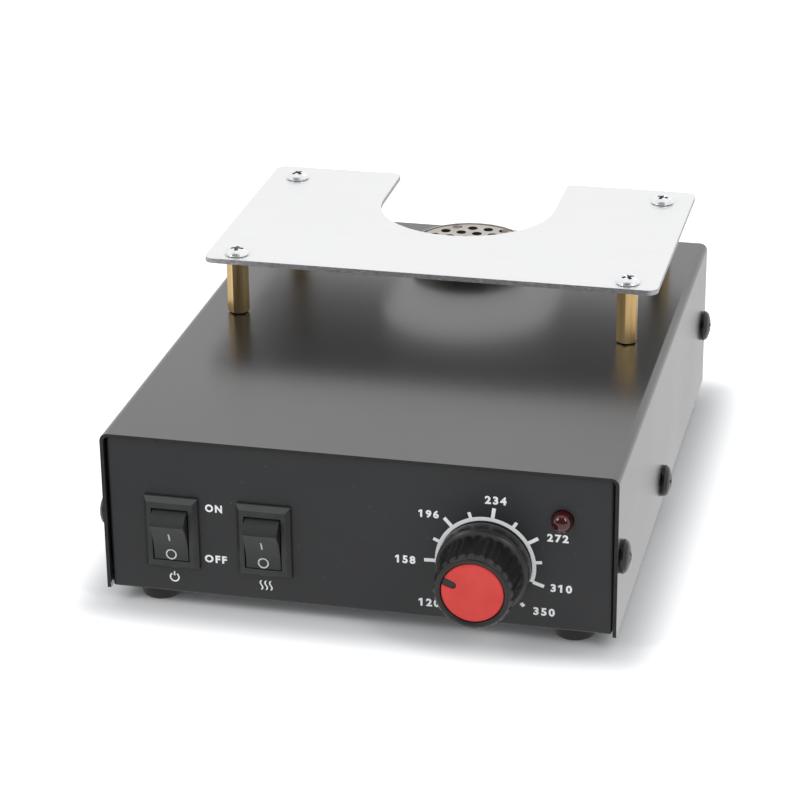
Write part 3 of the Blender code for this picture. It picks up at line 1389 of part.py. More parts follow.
def build_fan():
    """The fan's square frame with its motor seat, and the rotor on its own axis."""
    place = Matrix.Translation((0, OUTLET_Y, FAN_LOW))
    half = FAN_SIZE / 2
    bm = bmesh.new()
    add_box(bm, (-half, -half, 0), (half, half, FAN_HEIGHT))
    frame = object_from_bmesh("fan_frame", bm, "fan_plastic", place)
    bm = bmesh.new()
    over = FAN_SHELL
    add_rod(bm, (0, 0, -over), (0, 0, FAN_HEIGHT + over), FAN_BORE_RADIUS, sides=28)
    cut(frame, helper_from_bmesh("fan_bore", bm, place))
    bm = bmesh.new()
    for corner in CORNERS:
        side, end = CORNERS[corner]
        x, y = side * FAN_SCREW_SPAN / 2, end * FAN_SCREW_SPAN / 2
        radius = FAN_SCREW_RADIUS + HOLE_PLAY
        add_rod(bm, (x, y, -over), (x, y, FAN_HEIGHT + over), radius, sides=8)
    cut(frame, helper_from_bmesh("fan_corner_holes", bm, place))
    bm = bmesh.new()
    reach = (FAN_BORE_RADIUS + half) / 2
    wide = FAN_STRUT_WIDTH / 2
    add_box(bm, (-reach, -wide, 0), (reach, wide, FAN_STRUT_HEIGHT))
    strut = helper_from_bmesh("fan_strut_x", bm, place)
    bm = bmesh.new()
    add_box(bm, (-wide, -reach, 0), (wide, reach, FAN_STRUT_HEIGHT))
    join(strut, helper_from_bmesh("fan_strut_y", bm, place))
    motor = turned(
        "fan_motor_seat",
        [
            (0.0, FAN_HEIGHT - FAN_SHELL),
            (FAN_AXLE_RADIUS, FAN_HEIGHT - FAN_SHELL),
            (FAN_AXLE_RADIUS, FAN_STRUT_HEIGHT * 1.5),
            (FAN_MOTOR_RADIUS, FAN_STRUT_HEIGHT * 1.5),
            (FAN_MOTOR_RADIUS, 0.0),
            (0.0, 0.0),
        ],
        place=place,
        sides=16,
        group=CUTTERS,
    )
    join(strut, motor)
    join(frame, strut)

    axis = bpy.data.objects.new("fan_axis", None)
    PARTS.objects.link(axis)
    axis.location = (0, OUTLET_Y, FAN_LOW)
    hub_low = FAN_STRUT_HEIGHT * 1.5 + RUNNING_GAP * 2
    hub_top = hub_low + FAN_HUB_HEIGHT
    bore = FAN_AXLE_RADIUS + RUNNING_GAP
    inside = FAN_HUB_RADIUS - FAN_SHELL
    rotor = turned(
        "fan_rotor",
        [
            (bore, hub_top),
            (FAN_HUB_RADIUS - FAN_SHELL / 2, hub_top),
            (FAN_HUB_RADIUS, hub_top - FAN_SHELL / 2),
            (FAN_HUB_RADIUS, hub_low),
            (inside, hub_low),
            (inside, hub_top - FAN_SHELL * 2),
            (bore, hub_top - FAN_SHELL * 2),
        ],
        "fan_plastic",
        sides=18,
    )
    rotor.parent = axis
    tip = FAN_BORE_RADIUS - FAN_TIP_GAP
    root = FAN_HUB_RADIUS - FAN_SHELL / 2
    middle = (hub_low + hub_top) / 2
    bm = bmesh.new()
    for index in range(FAN_BLADES):
        spin = Matrix.Rotation(math.radians(360 * index / FAN_BLADES), 4, "Z")
        lean = Matrix.Rotation(math.radians(FAN_BLADE_PITCH), 4, "X")
        verts = add_box(
            bm,
            (root, -FAN_BLADE_CHORD / 2, -FAN_BLADE_SHEET / 2),
            (tip, FAN_BLADE_CHORD / 2, FAN_BLADE_SHEET / 2),
        )
        place_blade = spin @ Matrix.Translation((0, 0, middle)) @ lean
        bmesh.ops.transform(bm, matrix=place_blade, verts=verts)
    blades = helper_from_bmesh("fan_blades", bm)
    blades.parent = axis
    trim = turned(
        "fan_blade_trim",
        [
            (0.0, hub_top),
            (tip, hub_top),
            (tip, hub_low),
            (0.0, hub_low),
        ],
        sides=32,
        group=CUTTERS,
    )
    trim.parent = axis
    boolean(blades, trim, "INTERSECT")
    join(rotor, blades)

    top = FLANGE_TOP + BARREL_BOSS_HEIGHT
    length = top - (BASE_UNDER - SEAT)
    screw = screw_shape(
        "fan_screw",
        FAN_SCREW_HEAD_RADIUS,
        FAN_SCREW_HEAD_HEIGHT,
        PLATE_SCREW_RIM,
        FAN_SCREW_RADIUS,
        length,
        "black_steel",
        sides=8,
    )
    copies_of(
        screw,
        {
            f"fan_screw_{corner}": Matrix.Translation(
                (*fan_screw_place(corner), BASE_UNDER - SEAT)
            )
            @ FACING_DOWN
            for corner in CORNERS
        },
    )


def build_control_board():
    half_w, half_d = BOARD_WIDTH / 2, BOARD_DEPTH / 2
    bm = bmesh.new()
    add_box(
        bm,
        (-half_w, BOARD_CENTRE_Y - half_d, BOARD_LOW),
        (half_w, BOARD_CENTRE_Y + half_d, BOARD_TOP),
    )
    board = object_from_bmesh("control_board", bm, "board_green")
    bm = bmesh.new()
    for corner in CORNERS:
        x, y = spacer_place(corner)
        low, high = BOARD_LOW - BOARD_SHEET, BOARD_TOP + BOARD_SHEET
        add_rod(bm, (x, y, low), (x, y, high), SPACER_PIN_RADIUS + HOLE_PLAY, sides=8)
    cut(board, helper_from_bmesh("board_holes", bm))
    bm = bmesh.new()
    sunk = BOARD_TOP - BOARD_SHEET / 2
    for x, y, radius in BOARD_CAPACITORS:
        base = (x, BOARD_CENTRE_Y + y, sunk)
        add_rod(bm, base, (x, BOARD_CENTRE_Y + y, BOARD_TOP + 3 * radius), radius, sides=12)
    for (x, y), (wide, deep, high) in ((RELAY_PLACE, RELAY_SIZE), (CHIP_PLACE, CHIP_SIZE)):
        y += BOARD_CENTRE_Y
        add_box(
            bm,
            (x - wide / 2, y - deep / 2, sunk),
            (x + wide / 2, y + deep / 2, BOARD_TOP + high),
        )
    join(board, helper_from_bmesh("board_parts", bm))

    profile = [
        (0.0, BOARD_TOP + SPACER_PIN_LENGTH - BOARD_SHEET),
        (SPACER_PIN_RADIUS, BOARD_TOP + SPACER_PIN_LENGTH - BOARD_SHEET),
        (SPACER_PIN_RADIUS, BOARD_LOW - SEAT),
        (SPACER_RADIUS, BOARD_LOW - SEAT),
        (SPACER_RADIUS, BASE_TOP + SEAT),
        (SPACER_PIN_RADIUS, BASE_TOP + SEAT),
        (SPACER_PIN_RADIUS, BASE_UNDER),
        (0.0, BASE_UNDER),
    ]
    spacer = turned("board_spacer", profile, "nylon", sides=8)
    copies_of(
        spacer,
        {
            f"board_spacer_{corner}": Matrix.Translation((*spacer_place(corner), 0))
            for corner in CORNERS
        },
    )

    seat = BOARD_TOP + SEAT
    x, y = TRANSFORMER_PLACE
    centre = Vector((x, BOARD_CENTRE_Y + y, seat))
    bm = bmesh.new()
    half = Vector((TRANSFORMER_WIDTH / 2, TRANSFORMER_DEPTH / 2, 0))
    coil = TRANSFORMER_COIL
    add_box(
        bm,
        centre - half + Vector((0, coil, 0)),
        centre + half + Vector((0, -coil, TRANSFORMER_HEIGHT)),
    )
    transformer = object_from_bmesh("transformer", bm, "transformer_steel")
    bm = bmesh.new()
    add_box(
        bm,
        centre - half + Vector((2 * coil, 0, coil / 2)),
        centre + half + Vector((-2 * coil, 0, TRANSFORMER_HEIGHT - coil)),
    )
    join(transformer, helper_from_bmesh("transformer_coil", bm))

    fin_span = HEATSINK_WIDTH - HEATSINK_FIN_SHEET
    x, y = HEATSINK_PLACE
    low_x, low_y = x - HEATSINK_WIDTH / 2, BOARD_CENTRE_Y + y
    bm = bmesh.new()
    add_box(
        bm,
        (low_x, low_y, seat),
        (low_x + HEATSINK_WIDTH, low_y + HEATSINK_BASE, seat + HEATSINK_HEIGHT),
    )
    heatsink = object_from_bmesh("triac_heatsink", bm, "heatsink_metal")
    bm = bmesh.new()
    for index in range(HEATSINK_FINS):
        x = low_x + fin_span * index / (HEATSINK_FINS - 1)
        add_box(
            bm,
            (x, low_y + HEATSINK_BASE / 2, seat),
            (
                x + HEATSINK_FIN_SHEET,
                low_y + HEATSINK_BASE + HEATSINK_FIN_LENGTH,
                seat + HEATSINK_HEIGHT,
            ),
        )
    join(heatsink, helper_from_bmesh("heatsink_fins", bm))

    bm = bmesh.new()
    length = TERMINAL_WAYS * TERMINAL_PITCH
    rear = BOARD_CENTRE_Y + half_d - SEAT
    left = -length / 2
    add_box(bm, (left, rear - TERMINAL_DEPTH, seat), (left + length, rear, seat + TERMINAL_HEIGHT))
    block = object_from_bmesh("terminal_block", bm, "terminal_plastic")
    bm = bmesh.new()
    for index in range(TERMINAL_WAYS):
        x = left + TERMINAL_PITCH * (index + 0.5)
        top = seat + TERMINAL_HEIGHT
        y = rear - TERMINAL_DEPTH / 2
        low, high = top - TERMINAL_SCREW_DEPTH, top + TERMINAL_SCREW_DEPTH
        add_rod(bm, (x, y, low), (x, y, high), TERMINAL_PITCH * 0.3, sides=8)
        mouth = TERMINAL_PITCH * 0.28
        deep = TERMINAL_MOUTH_DEPTH
        z = seat + TERMINAL_HEIGHT * 0.3
        add_box(bm, (x - mouth, rear - deep, z - mouth), (x + mouth, rear + deep, z + mouth))
    cut(block, helper_from_bmesh("terminal_mouths", bm))


def build_mains_inlet():
    """The mains socket: flange outside the rear panel, body inside, three pins in its mouth."""
    face = REAR_FACE + SEAT
    bm = bmesh.new()
    half_w, half_h = INLET_FLANGE_WIDTH / 2, INLET_FLANGE_HEIGHT / 2
    outline = rounded(
        [(-half_w, -half_h), (half_w, -half_h), (half_w, half_h), (-half_w, half_h)],
        [FOOT_EDGE * 3] * 4,
        3,
    )
    bm.free()
    place = Matrix.Translation((INLET_X, face + INLET_FLANGE_RISE, INLET_Z)) @ FACING_FRONT
    inlet = flat_outline("mains_inlet", outline, INLET_FLANGE_RISE, "switch_plastic", place)
    bm = bmesh.new()
    half_w, half_h = INLET_BODY_WIDTH / 2, INLET_BODY_HEIGHT / 2
    back = face - CHASSIS_SHEET - INLET_BODY_DEPTH
    add_box(
        bm,
        (INLET_X - half_w, back, INLET_Z - half_h),
        (INLET_X + half_w, face + INLET_FLANGE_RISE / 2, INLET_Z + half_h),
    )
    join(inlet, helper_from_bmesh("inlet_box", bm))
    half_w, half_h = INLET_MOUTH_WIDTH / 2, INLET_MOUTH_HEIGHT / 2
    slope = INLET_MOUTH_CORNER
    mouth = [
        (-half_w, -half_h),
        (half_w, -half_h),
        (half_w, half_h - slope),
        (half_w - slope, half_h),
        (-half_w + slope, half_h),
        (-half_w, half_h - slope),
    ]
    over = INLET_FLANGE_RISE
    place = Matrix.Translation((INLET_X, face + INLET_FLANGE_RISE + over, INLET_Z)) @ FACING_FRONT
    depth = INLET_MOUTH_DEPTH + over
    cut(inlet, flat_outline("inlet_mouth", mouth, depth, place=place, group=CUTTERS))
    floor = face + INLET_FLANGE_RISE - INLET_MOUTH_DEPTH
    bm = bmesh.new()
    pins = ((-INLET_PIN_SPAN / 2, -1), (INLET_PIN_SPAN / 2, -1), (0.0, 1))
    for x, row in pins:
        x += INLET_X
        z = INLET_Z + row * INLET_PIN_OFFSET
        wide, high = INLET_PIN_WIDTH / 2, INLET_PIN_HEIGHT / 2
        add_box(
            bm,
            (x - wide, floor - BLADE_SHEET, z - high),
            (x + wide, floor + INLET_PIN_LENGTH, z + high),
        )
        add_box(
            bm,
            (x - BLADE_SHEET / 2, back - BLADE_LENGTH, z - BLADE_WIDTH / 2),
            (x + BLADE_SHEET / 2, back + BLADE_SHEET, z + BLADE_WIDTH / 2),
        )
    join(inlet, helper_from_bmesh("inlet_pins", bm))


def build_leads():
    """Leads inside the case, from terminal to terminal."""
    gap = SEAT + LEAD_RADIUS
    inlet_back = REAR_FACE + SEAT - CHASSIS_SHEET - INLET_BODY_DEPTH - BLADE_LENGTH
    run = inlet_back - SWITCH_BACK
    side_x = -CHASSIS_HALF + TAB_SHEET + 4 * LEAD_RADIUS
    run_z = BOARD_TOP + 4 * LEAD_RADIUS
    pin_z = INLET_Z - INLET_PIN_OFFSET
    blade_z = SWITCH_Z - BLADE_SPAN / 2
    mains = [
        (INLET_X, inlet_back - SEAT, pin_z),
        (INLET_X, inlet_back - LEAD_STUB, pin_z),
        (side_x, inlet_back - run * 0.32, run_z),
        (side_x, inlet_back - run * 0.70, run_z),
        (POWER_X, SWITCH_BACK + LEAD_STUB, blade_z),
        (POWER_X, SWITCH_BACK + SEAT, blade_z),
    ]
    wire("mains_lead", smooth_route(mains, LEAD_STEP), LEAD_RADIUS, "lead_grey")
    block_rear = BOARD_CENTRE_Y + BOARD_DEPTH / 2
    mouth_z = BOARD_TOP + SEAT + TERMINAL_HEIGHT * 0.3
    pin_y = OUTLET_Y - BARREL_RADIUS - CORE_PIN_REACH
    pin_z = FLANGE_TOP + SEAT + CORE_PIN_HEIGHT
    pin_x = CORE_PIN_SPAN / 2
    way = TERMINAL_PITCH / 2
    run = pin_y - block_rear
    heater = [
        (way, block_rear - TERMINAL_MOUTH_DEPTH, mouth_z),
        (way, block_rear + run * 0.20, mouth_z),
        (pin_x, block_rear + run * 0.60, (mouth_z + pin_z) / 2),
        (pin_x, block_rear + run * 0.85, pin_z),
        (pin_x, pin_y - SEAT, pin_z),
    ]
    wire("heater_lead", smooth_route(heater, LEAD_STEP), LEAD_RADIUS, "lead_grey")
    corner_x = FAN_SIZE / 2 + SEAT
    corner_y = OUTLET_Y - FAN_SIZE / 4
    corner_z = FAN_LOW + FAN_HEIGHT / 2
    run = corner_y - block_rear
    end_x = BOARD_WIDTH / 2 - FAN_LEAD_INSET
    fan = [
        (corner_x, corner_y, corner_z),
        (corner_x + LEAD_STUB, corner_y, corner_z),
        (end_x + 3 * LEAD_RADIUS, block_rear + run * 0.28, BOARD_TOP + LEAD_STUB),
        (end_x, block_rear - LEAD_STUB / 2, BOARD_TOP + gap + 2 * LEAD_RADIUS),
        (end_x, block_rear - 1.5 * LEAD_STUB, BOARD_TOP + gap),
    ]
    wire("fan_lead", smooth_route(fan, LEAD_STEP), LEAD_RADIUS, "lead_grey")
    lug_low = DIAL_Z - POT_RADIUS - POT_LUG_DROP
    lug_y = PANEL_BACK + SEAT + POT_DEPTH / 2
    board_front = BOARD_CENTRE_Y - BOARD_DEPTH / 2
    panel = [
        (DIAL_X, lug_y + POT_LUG_SHEET + gap, lug_low + LEAD_RADIUS),
        (DIAL_X, lug_y + LEAD_STUB + gap, lug_low + 3 * LEAD_RADIUS),
        (DIAL_X, board_front - SEAT, BOARD_TOP + gap + LEAD_RADIUS),
        (DIAL_X, board_front + LEAD_STUB, BOARD_TOP + gap),
    ]
    wire("panel_lead", smooth_route(panel, LEAD_STEP), LEAD_RADIUS, "lead_grey")


build_top_cover()
build_chassis()
build_feet()
build_board_plate()
build_standoffs()
build_screws()
for switch_name, switch_x in SWITCH_CENTRE_X.items():
    build_switch(switch_name, switch_x)
build_knob()
build_potentiometer()
build_indicator_led()
build_outlet()
build_fan()
build_control_board()
build_mains_inlet()
build_leads()
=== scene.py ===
"""Looks of the bench preheater, built around its CAD part."""

import json
import math

import bmesh
import bpy
from mathutils import Matrix, Vector

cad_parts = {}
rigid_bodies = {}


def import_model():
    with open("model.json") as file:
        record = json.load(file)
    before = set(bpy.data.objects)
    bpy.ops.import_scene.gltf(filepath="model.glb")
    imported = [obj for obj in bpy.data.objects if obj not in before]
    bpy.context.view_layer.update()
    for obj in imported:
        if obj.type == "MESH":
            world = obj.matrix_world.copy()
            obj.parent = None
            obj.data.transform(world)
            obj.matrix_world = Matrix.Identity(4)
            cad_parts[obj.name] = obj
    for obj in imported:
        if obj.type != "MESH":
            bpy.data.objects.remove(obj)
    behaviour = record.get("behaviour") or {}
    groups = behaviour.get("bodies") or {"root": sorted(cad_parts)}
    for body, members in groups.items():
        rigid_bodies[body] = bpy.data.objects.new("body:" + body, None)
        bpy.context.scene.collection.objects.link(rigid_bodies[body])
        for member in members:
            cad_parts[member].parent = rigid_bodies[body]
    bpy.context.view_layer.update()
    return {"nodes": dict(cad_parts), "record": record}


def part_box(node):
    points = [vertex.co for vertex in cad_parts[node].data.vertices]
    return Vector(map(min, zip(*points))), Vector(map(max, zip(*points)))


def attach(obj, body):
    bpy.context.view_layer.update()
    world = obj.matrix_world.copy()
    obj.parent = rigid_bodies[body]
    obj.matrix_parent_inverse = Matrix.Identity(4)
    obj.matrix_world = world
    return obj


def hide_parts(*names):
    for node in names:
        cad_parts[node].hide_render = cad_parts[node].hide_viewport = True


for obj in list(bpy.data.objects):
    bpy.data.objects.remove(obj, do_unlink=True)

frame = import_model()
NODES = frame["nodes"]
ROOT = "preheater"
MM = 0.001

# Sizes read off the solids, in metres
cover_low, cover_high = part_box("top_cover")
chassis_low, chassis_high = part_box("chassis")
PLATE_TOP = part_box("board_plate")[1].z
PANEL_Y = chassis_low.y
CASE_Y = (cover_low.y + cover_high.y) / 2
CORNERS = ("front_left", "front_right", "rear_left", "rear_right")

# Camera, solved from the case's corners: degrees, metres, and the focal length in pixels of the photo
AZIMUTH, ELEVATION, ROLL = 13.3, 23.72, -0.63
AIM = Vector((-0.0005, -0.03259 + CASE_Y, 0.03826 + cover_low.z))
DISTANCE = 0.7831
FOCAL_PIXELS, PICTURE_PIXELS, SENSOR_WIDTH = 2802.1, 800, 36

# The room: its own light, and how its front part is dimmed in glossy reflections
WHITE = (1, 1, 1, 1)
ROOM_COLOUR, ROOM_STRENGTH = (0.97, 0.985, 1.0, 1), 0.72
FRONT_SPAN, FRONT_STRENGTH = (-0.62, -0.22), (0.14, 1.0)

# The floor: its colour, the distance from the case at which its shadow ends, and the light added there
FLOOR_COLOUR, FLOOR_SIZE = (0.93, 0.93, 0.935, 1), 6
SHADOW_REACH, FLOOR_LIFT = 0.019, 0.62

# Lamps: place, size and watts, all aimed at one point of the case
LAMP_AIM = Vector((0, 0, 0.03))
LAMPS = {
    "left": ((-0.75, -0.64, 0.72), (0.38, 0.38), 2.4),
    "right": ((0.75, -0.62, 0.78), (0.16, 0.5), 2.0),
    "back": ((0.0, 1.25, 0.85), (1.4, 0.6), 0.3),
}

# Meshes: the distance at which corners are one, for new meshes and for the CAD's
NEAR, CAD_NEAR = 1e-7, 2e-6
FLAT_ANGLE = math.radians(0.6)

# Screw heads: radius, height, rim, the recess's half width, half length and depth, and the dome's fullness;
# then the turn of each head in degrees, and the gap below the heads
PLATE_HEAD = (3.45 * MM, 1.8 * MM, 0.5 * MM, (0.62 * MM, 2.2 * MM, 1.2 * MM), 2.0)
COVER_HEAD = (4.6 * MM, 2.4 * MM, 0.8 * MM, (0.5 * MM, 2.3 * MM, 1.3 * MM), 1.75)
PLATE_TURNS = {"front_left": 6, "front_right": 32, "rear_left": 48, "rear_right": 71}
COVER_TURNS = {"front": 24, "middle": 70, "rear": 50}
SEAT_GAP = 0.2 * MM

# Chassis: its outer bend, how much tighter that is shown and the least radius left, then how far its base
# drops, and the height below which a corner belongs to the base
BEND, TIGHTER, LEAST_BEND = 2.0 * MM, 1.1 * MM, 0.05 * MM
BASE_DROP, BASE_REACH = 0.45 * MM, 1.3 * MM

# Switches: the corners of the opening's lower lip, measured from the body's middle, and how far it drops
LIP_HALF_WIDTH, LIP_SPAN, LIP_DROP = 5.2 * MM, (6 * MM, 8.2 * MM), 0.45 * MM

# Rockers: the pivot, the two round ends, and the dished face between them, which is longer below
PIVOT_DEPTH, ROCKER_TILT, ROCKER_HALF_WIDTH = 3.0 * MM, 18, 4.8 * MM
ROCKER_RADIUS, FACE_ANGLE, END_ARC = 7.5 * MM, 48, 44
FACE_DISH, FACE_LONGER = 1.1 * MM, 0.85 * MM
FACE_FLAT = ROCKER_RADIUS * math.cos(math.radians(FACE_ANGLE))
FACE_TOP = ROCKER_RADIUS * math.sin(math.radians(FACE_ANGLE))
FACE_LOW = -FACE_TOP - FACE_LONGER

# Rocker marks: the bar's half width and its ends along the face, and the ring's middle and radii
BAR_HALF_WIDTH, BAR_LOW, BAR_HIGH, BAR_PIECES = 0.2 * MM, -0.25 * MM, 2.33 * MM, 6
MARK_OFF, MARK_INNER, MARK_OUTER = -4.75 * MM, 1.15 * MM, 1.52 * MM

# Knob: its middle on the panel, its turn, and the flutes of its grip
DIAL = (34.8 * MM, 17.7 * MM)
KNOB_TURN = 70
FLUTES, FLUTE_DEPTH, FLUTE_LAND = 24, 0.42 * MM, 0.2
GRIP_RADIUS, GRIP_SPAN, GRIP_FADE = 9.7 * MM, (6.3 * MM, 16.75 * MM), 0.8 * MM

# The cap's pointer slot: half its width, the middle of its round end, and its open end
SLOT_HALF_WIDTH, SLOT_START, SLOT_END = 1.05 * MM, 5.55 * MM, 10.5 * MM
TONGUE_END, TONGUE_SHARE = 8.5 * MM, 0.9

# LED: its height on the panel, its lens, and the collar behind the panel
LED_UP, LENS_RADIUS, LENS_OUT = 32.3 * MM, 2.9 * MM, 0.7 * MM
COLLAR_RADIUS, COLLAR_FRONT, COLLAR_BACK = 3.6 * MM, -1.4 * MM, -2.4 * MM

# Outlet disc: its turn, and its hexagonal field of holes
DISC_TURN, HOLE_RINGS, HOLE_PITCH, HOLE_RADIUS = -4, 3, 5.0 * MM, 1.55 * MM

# Print: its thickness, the ring and ticks of the dial, and the degrees at which they stand
PRINT = 0.03 * MM
RING_INNER, RING_OUTER, RING_SPAN = 12.5 * MM, 13.58 * MM, (-142.0, 108.5)
LONG_TICKS, SHORT_TICKS, LAST_TICK = (-142, -92, -42, 8, 58, 108), (-117, -67, -17, 33, 83), 138

# Printed characters: height, stroke, spacing, the font's cap height, and the width that counts as narrow
NUMBER_HEIGHT, WORD_HEIGHT = 2.35 * MM, 2.3 * MM
STROKE, SPREAD, CAP_SHARE, NARROW = 0.058, 1.3, 0.73, 0.45

# Place right and up on the panel, and width, in millimetres
NUMBERS = {
    "120": (19.6, 4.5, 5.8),
    "158": (13.2, 16.7, 5.5),
    "196": (19.6, 30.7, 5.5),
    "234": (37.5, 36.3, 5.75),
    "272": (54.0, 27.0, 5.7),
    "310": (55.1, 12.4, 5.7),
    "350": (50.6, 5.1, 5.75),
}
WORDS = {"ON": (-39.25, 26.3, 4.74), "OFF": (-39.15, 11.2, 6.2)}
STANDBY_PLACE, WAVES_PLACE = (-51.0 * MM, 4.6 * MM), (-25.3 * MM, 4.8 * MM)


# Helpers


def srgb(red, green, blue):
    """A linear colour from 0-255 values."""
    out = []
    for value in (red, green, blue):
        c = value / 255
        out.append(c / 12.92 if c <= 0.04045 else ((c + 0.055) / 1.055) ** 2.4)
    return tuple(out)


def in_mm(points):
    """Points written in millimetres, in metres."""
    return [(a * MM, b * MM) for a, b in points]


def linked(name, data):
    """A new object of the data, in the scene."""
    made = bpy.data.objects.new(name, data)
    bpy.context.scene.collection.objects.link(made)
    return made


def middle_of(node):
    """The middle of a CAD node's box."""
    low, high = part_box(node)
    return (low + high) / 2


def on_panel(right, up):
    """A place on the front panel, from the case's middle and lower edge: X is right, Y is up."""
    turn = Matrix.Rotation(math.radians(90), 4, "X")
    return Matrix.Translation((right, PANEL_Y, cover_low.z + up)) @ turn


# Camera, light and floor


def camera():
    """The photo's camera."""
    azimuth, elevation, roll = (math.radians(angle) for angle in (AZIMUTH, ELEVATION, ROLL))
    across = math.cos(elevation)
    back = Vector((math.sin(azimuth) * across, -math.cos(azimuth) * across, math.sin(elevation)))
    right = Vector((0, 0, 1)).cross(back).normalized()
    up = back.cross(right)
    turned_right = right * math.cos(roll) + up * math.sin(roll)
    turned_up = up * math.cos(roll) - right * math.sin(roll)
    place = Matrix((turned_right, turned_up, back)).transposed().to_4x4()
    place.translation = AIM + back * DISTANCE
    data = bpy.data.cameras.new("camera")
    data.sensor_width = SENSOR_WIDTH
    data.lens = SENSOR_WIDTH * FOCAL_PIXELS / PICTURE_PIXELS
    data.clip_end = 50
    made = linked("camera", data)
    made.matrix_world = place
    bpy.context.scene.camera = made


def lamp(name, place, size, power):
    """A rectangular area light that shines at the case."""
    data = bpy.data.lights.new(name, "AREA")
    data.shape = "RECTANGLE"
    data.size, data.size_y = size
    data.energy = power
    made = linked(name, data)
    made.location = place
    made.rotation_euler = (LAMP_AIM - Vector(place)).to_track_quat("-Z", "Y").to_euler()


def smooth_range(tree, source, span, values):
    """A number that runs smoothly between two values while the source crosses the span."""
    node = tree.nodes.new("ShaderNodeMapRange")
    node.interpolation_type = "SMOOTHSTEP"
    for socket, value in zip(("From Min", "From Max", "To Min", "To Max"), (*span, *values)):
        node.inputs[socket].default_value = value
    tree.links.new(source, node.inputs["Value"])
    return node.outputs["Result"]


def world():
    """Soft grey light all round; white where it is seen, but dim in reflections of the room in front."""
    made = bpy.data.worlds.new("studio")
    bpy.context.scene.world = made
    made.use_nodes = True
    tree = made.node_tree
    tree.nodes.clear()
    link = tree.links.new

    def background(colour, strength):
        node = tree.nodes.new("ShaderNodeBackground")
        node.inputs["Color"].default_value = colour
        node.inputs["Strength"].default_value = strength
        return node

    light = background(ROOM_COLOUR, ROOM_STRENGTH)
    white = background(WHITE, 1.0)
    mirrored = background(WHITE, 1.0)
    direction = tree.nodes.new("ShaderNodeSeparateXYZ")
    link(tree.nodes.new("ShaderNodeTexCoord").outputs["Generated"], direction.inputs[0])
    dimmed = smooth_range(tree, direction.outputs["Y"], FRONT_SPAN, FRONT_STRENGTH)
    link(dimmed, mirrored.inputs["Strength"])
    path = tree.nodes.new("ShaderNodeLightPath")
    seen = tree.nodes.new("ShaderNodeMath")
    seen.operation = "MAXIMUM"
    link(path.outputs["Is Camera Ray"], seen.inputs[0])
    link(path.outputs["Is Transmission Ray"], seen.inputs[1])
    mix = tree.nodes.new("ShaderNodeMixShader")
    link(seen.outputs[0], mix.inputs[0])
    link(light.outputs[0], mix.inputs[1])
    link(white.outputs[0], mix.inputs[2])
    glossy = tree.nodes.new("ShaderNodeMixShader")
    link(path.outputs["Is Glossy Ray"], glossy.inputs[0])
    link(mix.outputs[0], glossy.inputs[1])
    link(mirrored.outputs[0], glossy.inputs[2])
    link(glossy.outputs[0], tree.nodes.new("ShaderNodeOutputWorld").inputs["Surface"])


def beyond_case(tree):
    """How far a point of the floor is from the case's outline, seen from above."""
    half = (cover_high - cover_low) / 2
    steps = (
        ("SUBTRACT", (0, CASE_Y, 0)),
        ("ABSOLUTE", None),
        ("SUBTRACT", (half.x, half.y, 0)),
        ("MAXIMUM", (0, 0, 0)),
    )
    spot = tree.nodes.new("ShaderNodeTexCoord").outputs["Object"]
    for operation, value in steps:
        node = tree.nodes.new("ShaderNodeVectorMath")
        node.operation = operation
        if value:
            node.inputs[1].default_value = value
        tree.links.new(spot, node.inputs[0])
        spot = node.outputs["Vector"]
    length = tree.nodes.new("ShaderNodeVectorMath")
    length.operation = "LENGTH"
    tree.links.new(spot, length.inputs[0])
    return length.outputs["Value"]


def floor():
    """A white floor that mirrors as plain white, and looks brighter where the case's shadow ends."""
    bm = bmesh.new()
    bmesh.ops.create_grid(bm, x_segments=1, y_segments=1, size=FLOOR_SIZE)
    mesh = bpy.data.meshes.new("floor")
    bm.to_mesh(mesh)
    bm.free()
    made = linked("floor", mesh)
    material = bpy.data.materials.new("floor")
    material.use_nodes = True
    tree = material.node_tree
    link = tree.links.new
    shader = tree.nodes["Principled BSDF"]
    shader.inputs["Base Color"].default_value = FLOOR_COLOUR
    shader.inputs["Roughness"].default_value = 0.9
    shader.inputs["Specular IOR Level"].default_value = 0.2
    path = tree.nodes.new("ShaderNodeLightPath")
    lift = tree.nodes.new("ShaderNodeMath")
    lift.operation = "MULTIPLY"
    link(path.outputs["Is Camera Ray"], lift.inputs[0])
    link(smooth_range(tree, beyond_case(tree), (0.0, SHADOW_REACH), (0.0, FLOOR_LIFT)), lift.inputs[1])
    paler = tree.nodes.new("ShaderNodeEmission")
    link(lift.outputs[0], paler.inputs["Strength"])
    added = tree.nodes.new("ShaderNodeAddShader")
    link(shader.outputs[0], added.inputs[0])
    link(paler.outputs[0], added.inputs[1])
    white = tree.nodes.new("ShaderNodeEmission")
    white.inputs["Color"].default_value = WHITE
    mix = tree.nodes.new("ShaderNodeMixShader")
    link(path.outputs["Is Glossy Ray"], mix.inputs[0])
    link(added.outputs[0], mix.inputs[1])
    link(white.outputs[0], mix.inputs[2])
    link(mix.outputs[0], tree.nodes["Material Output"].inputs["Surface"])
    mesh.materials.append(material)


# Materials


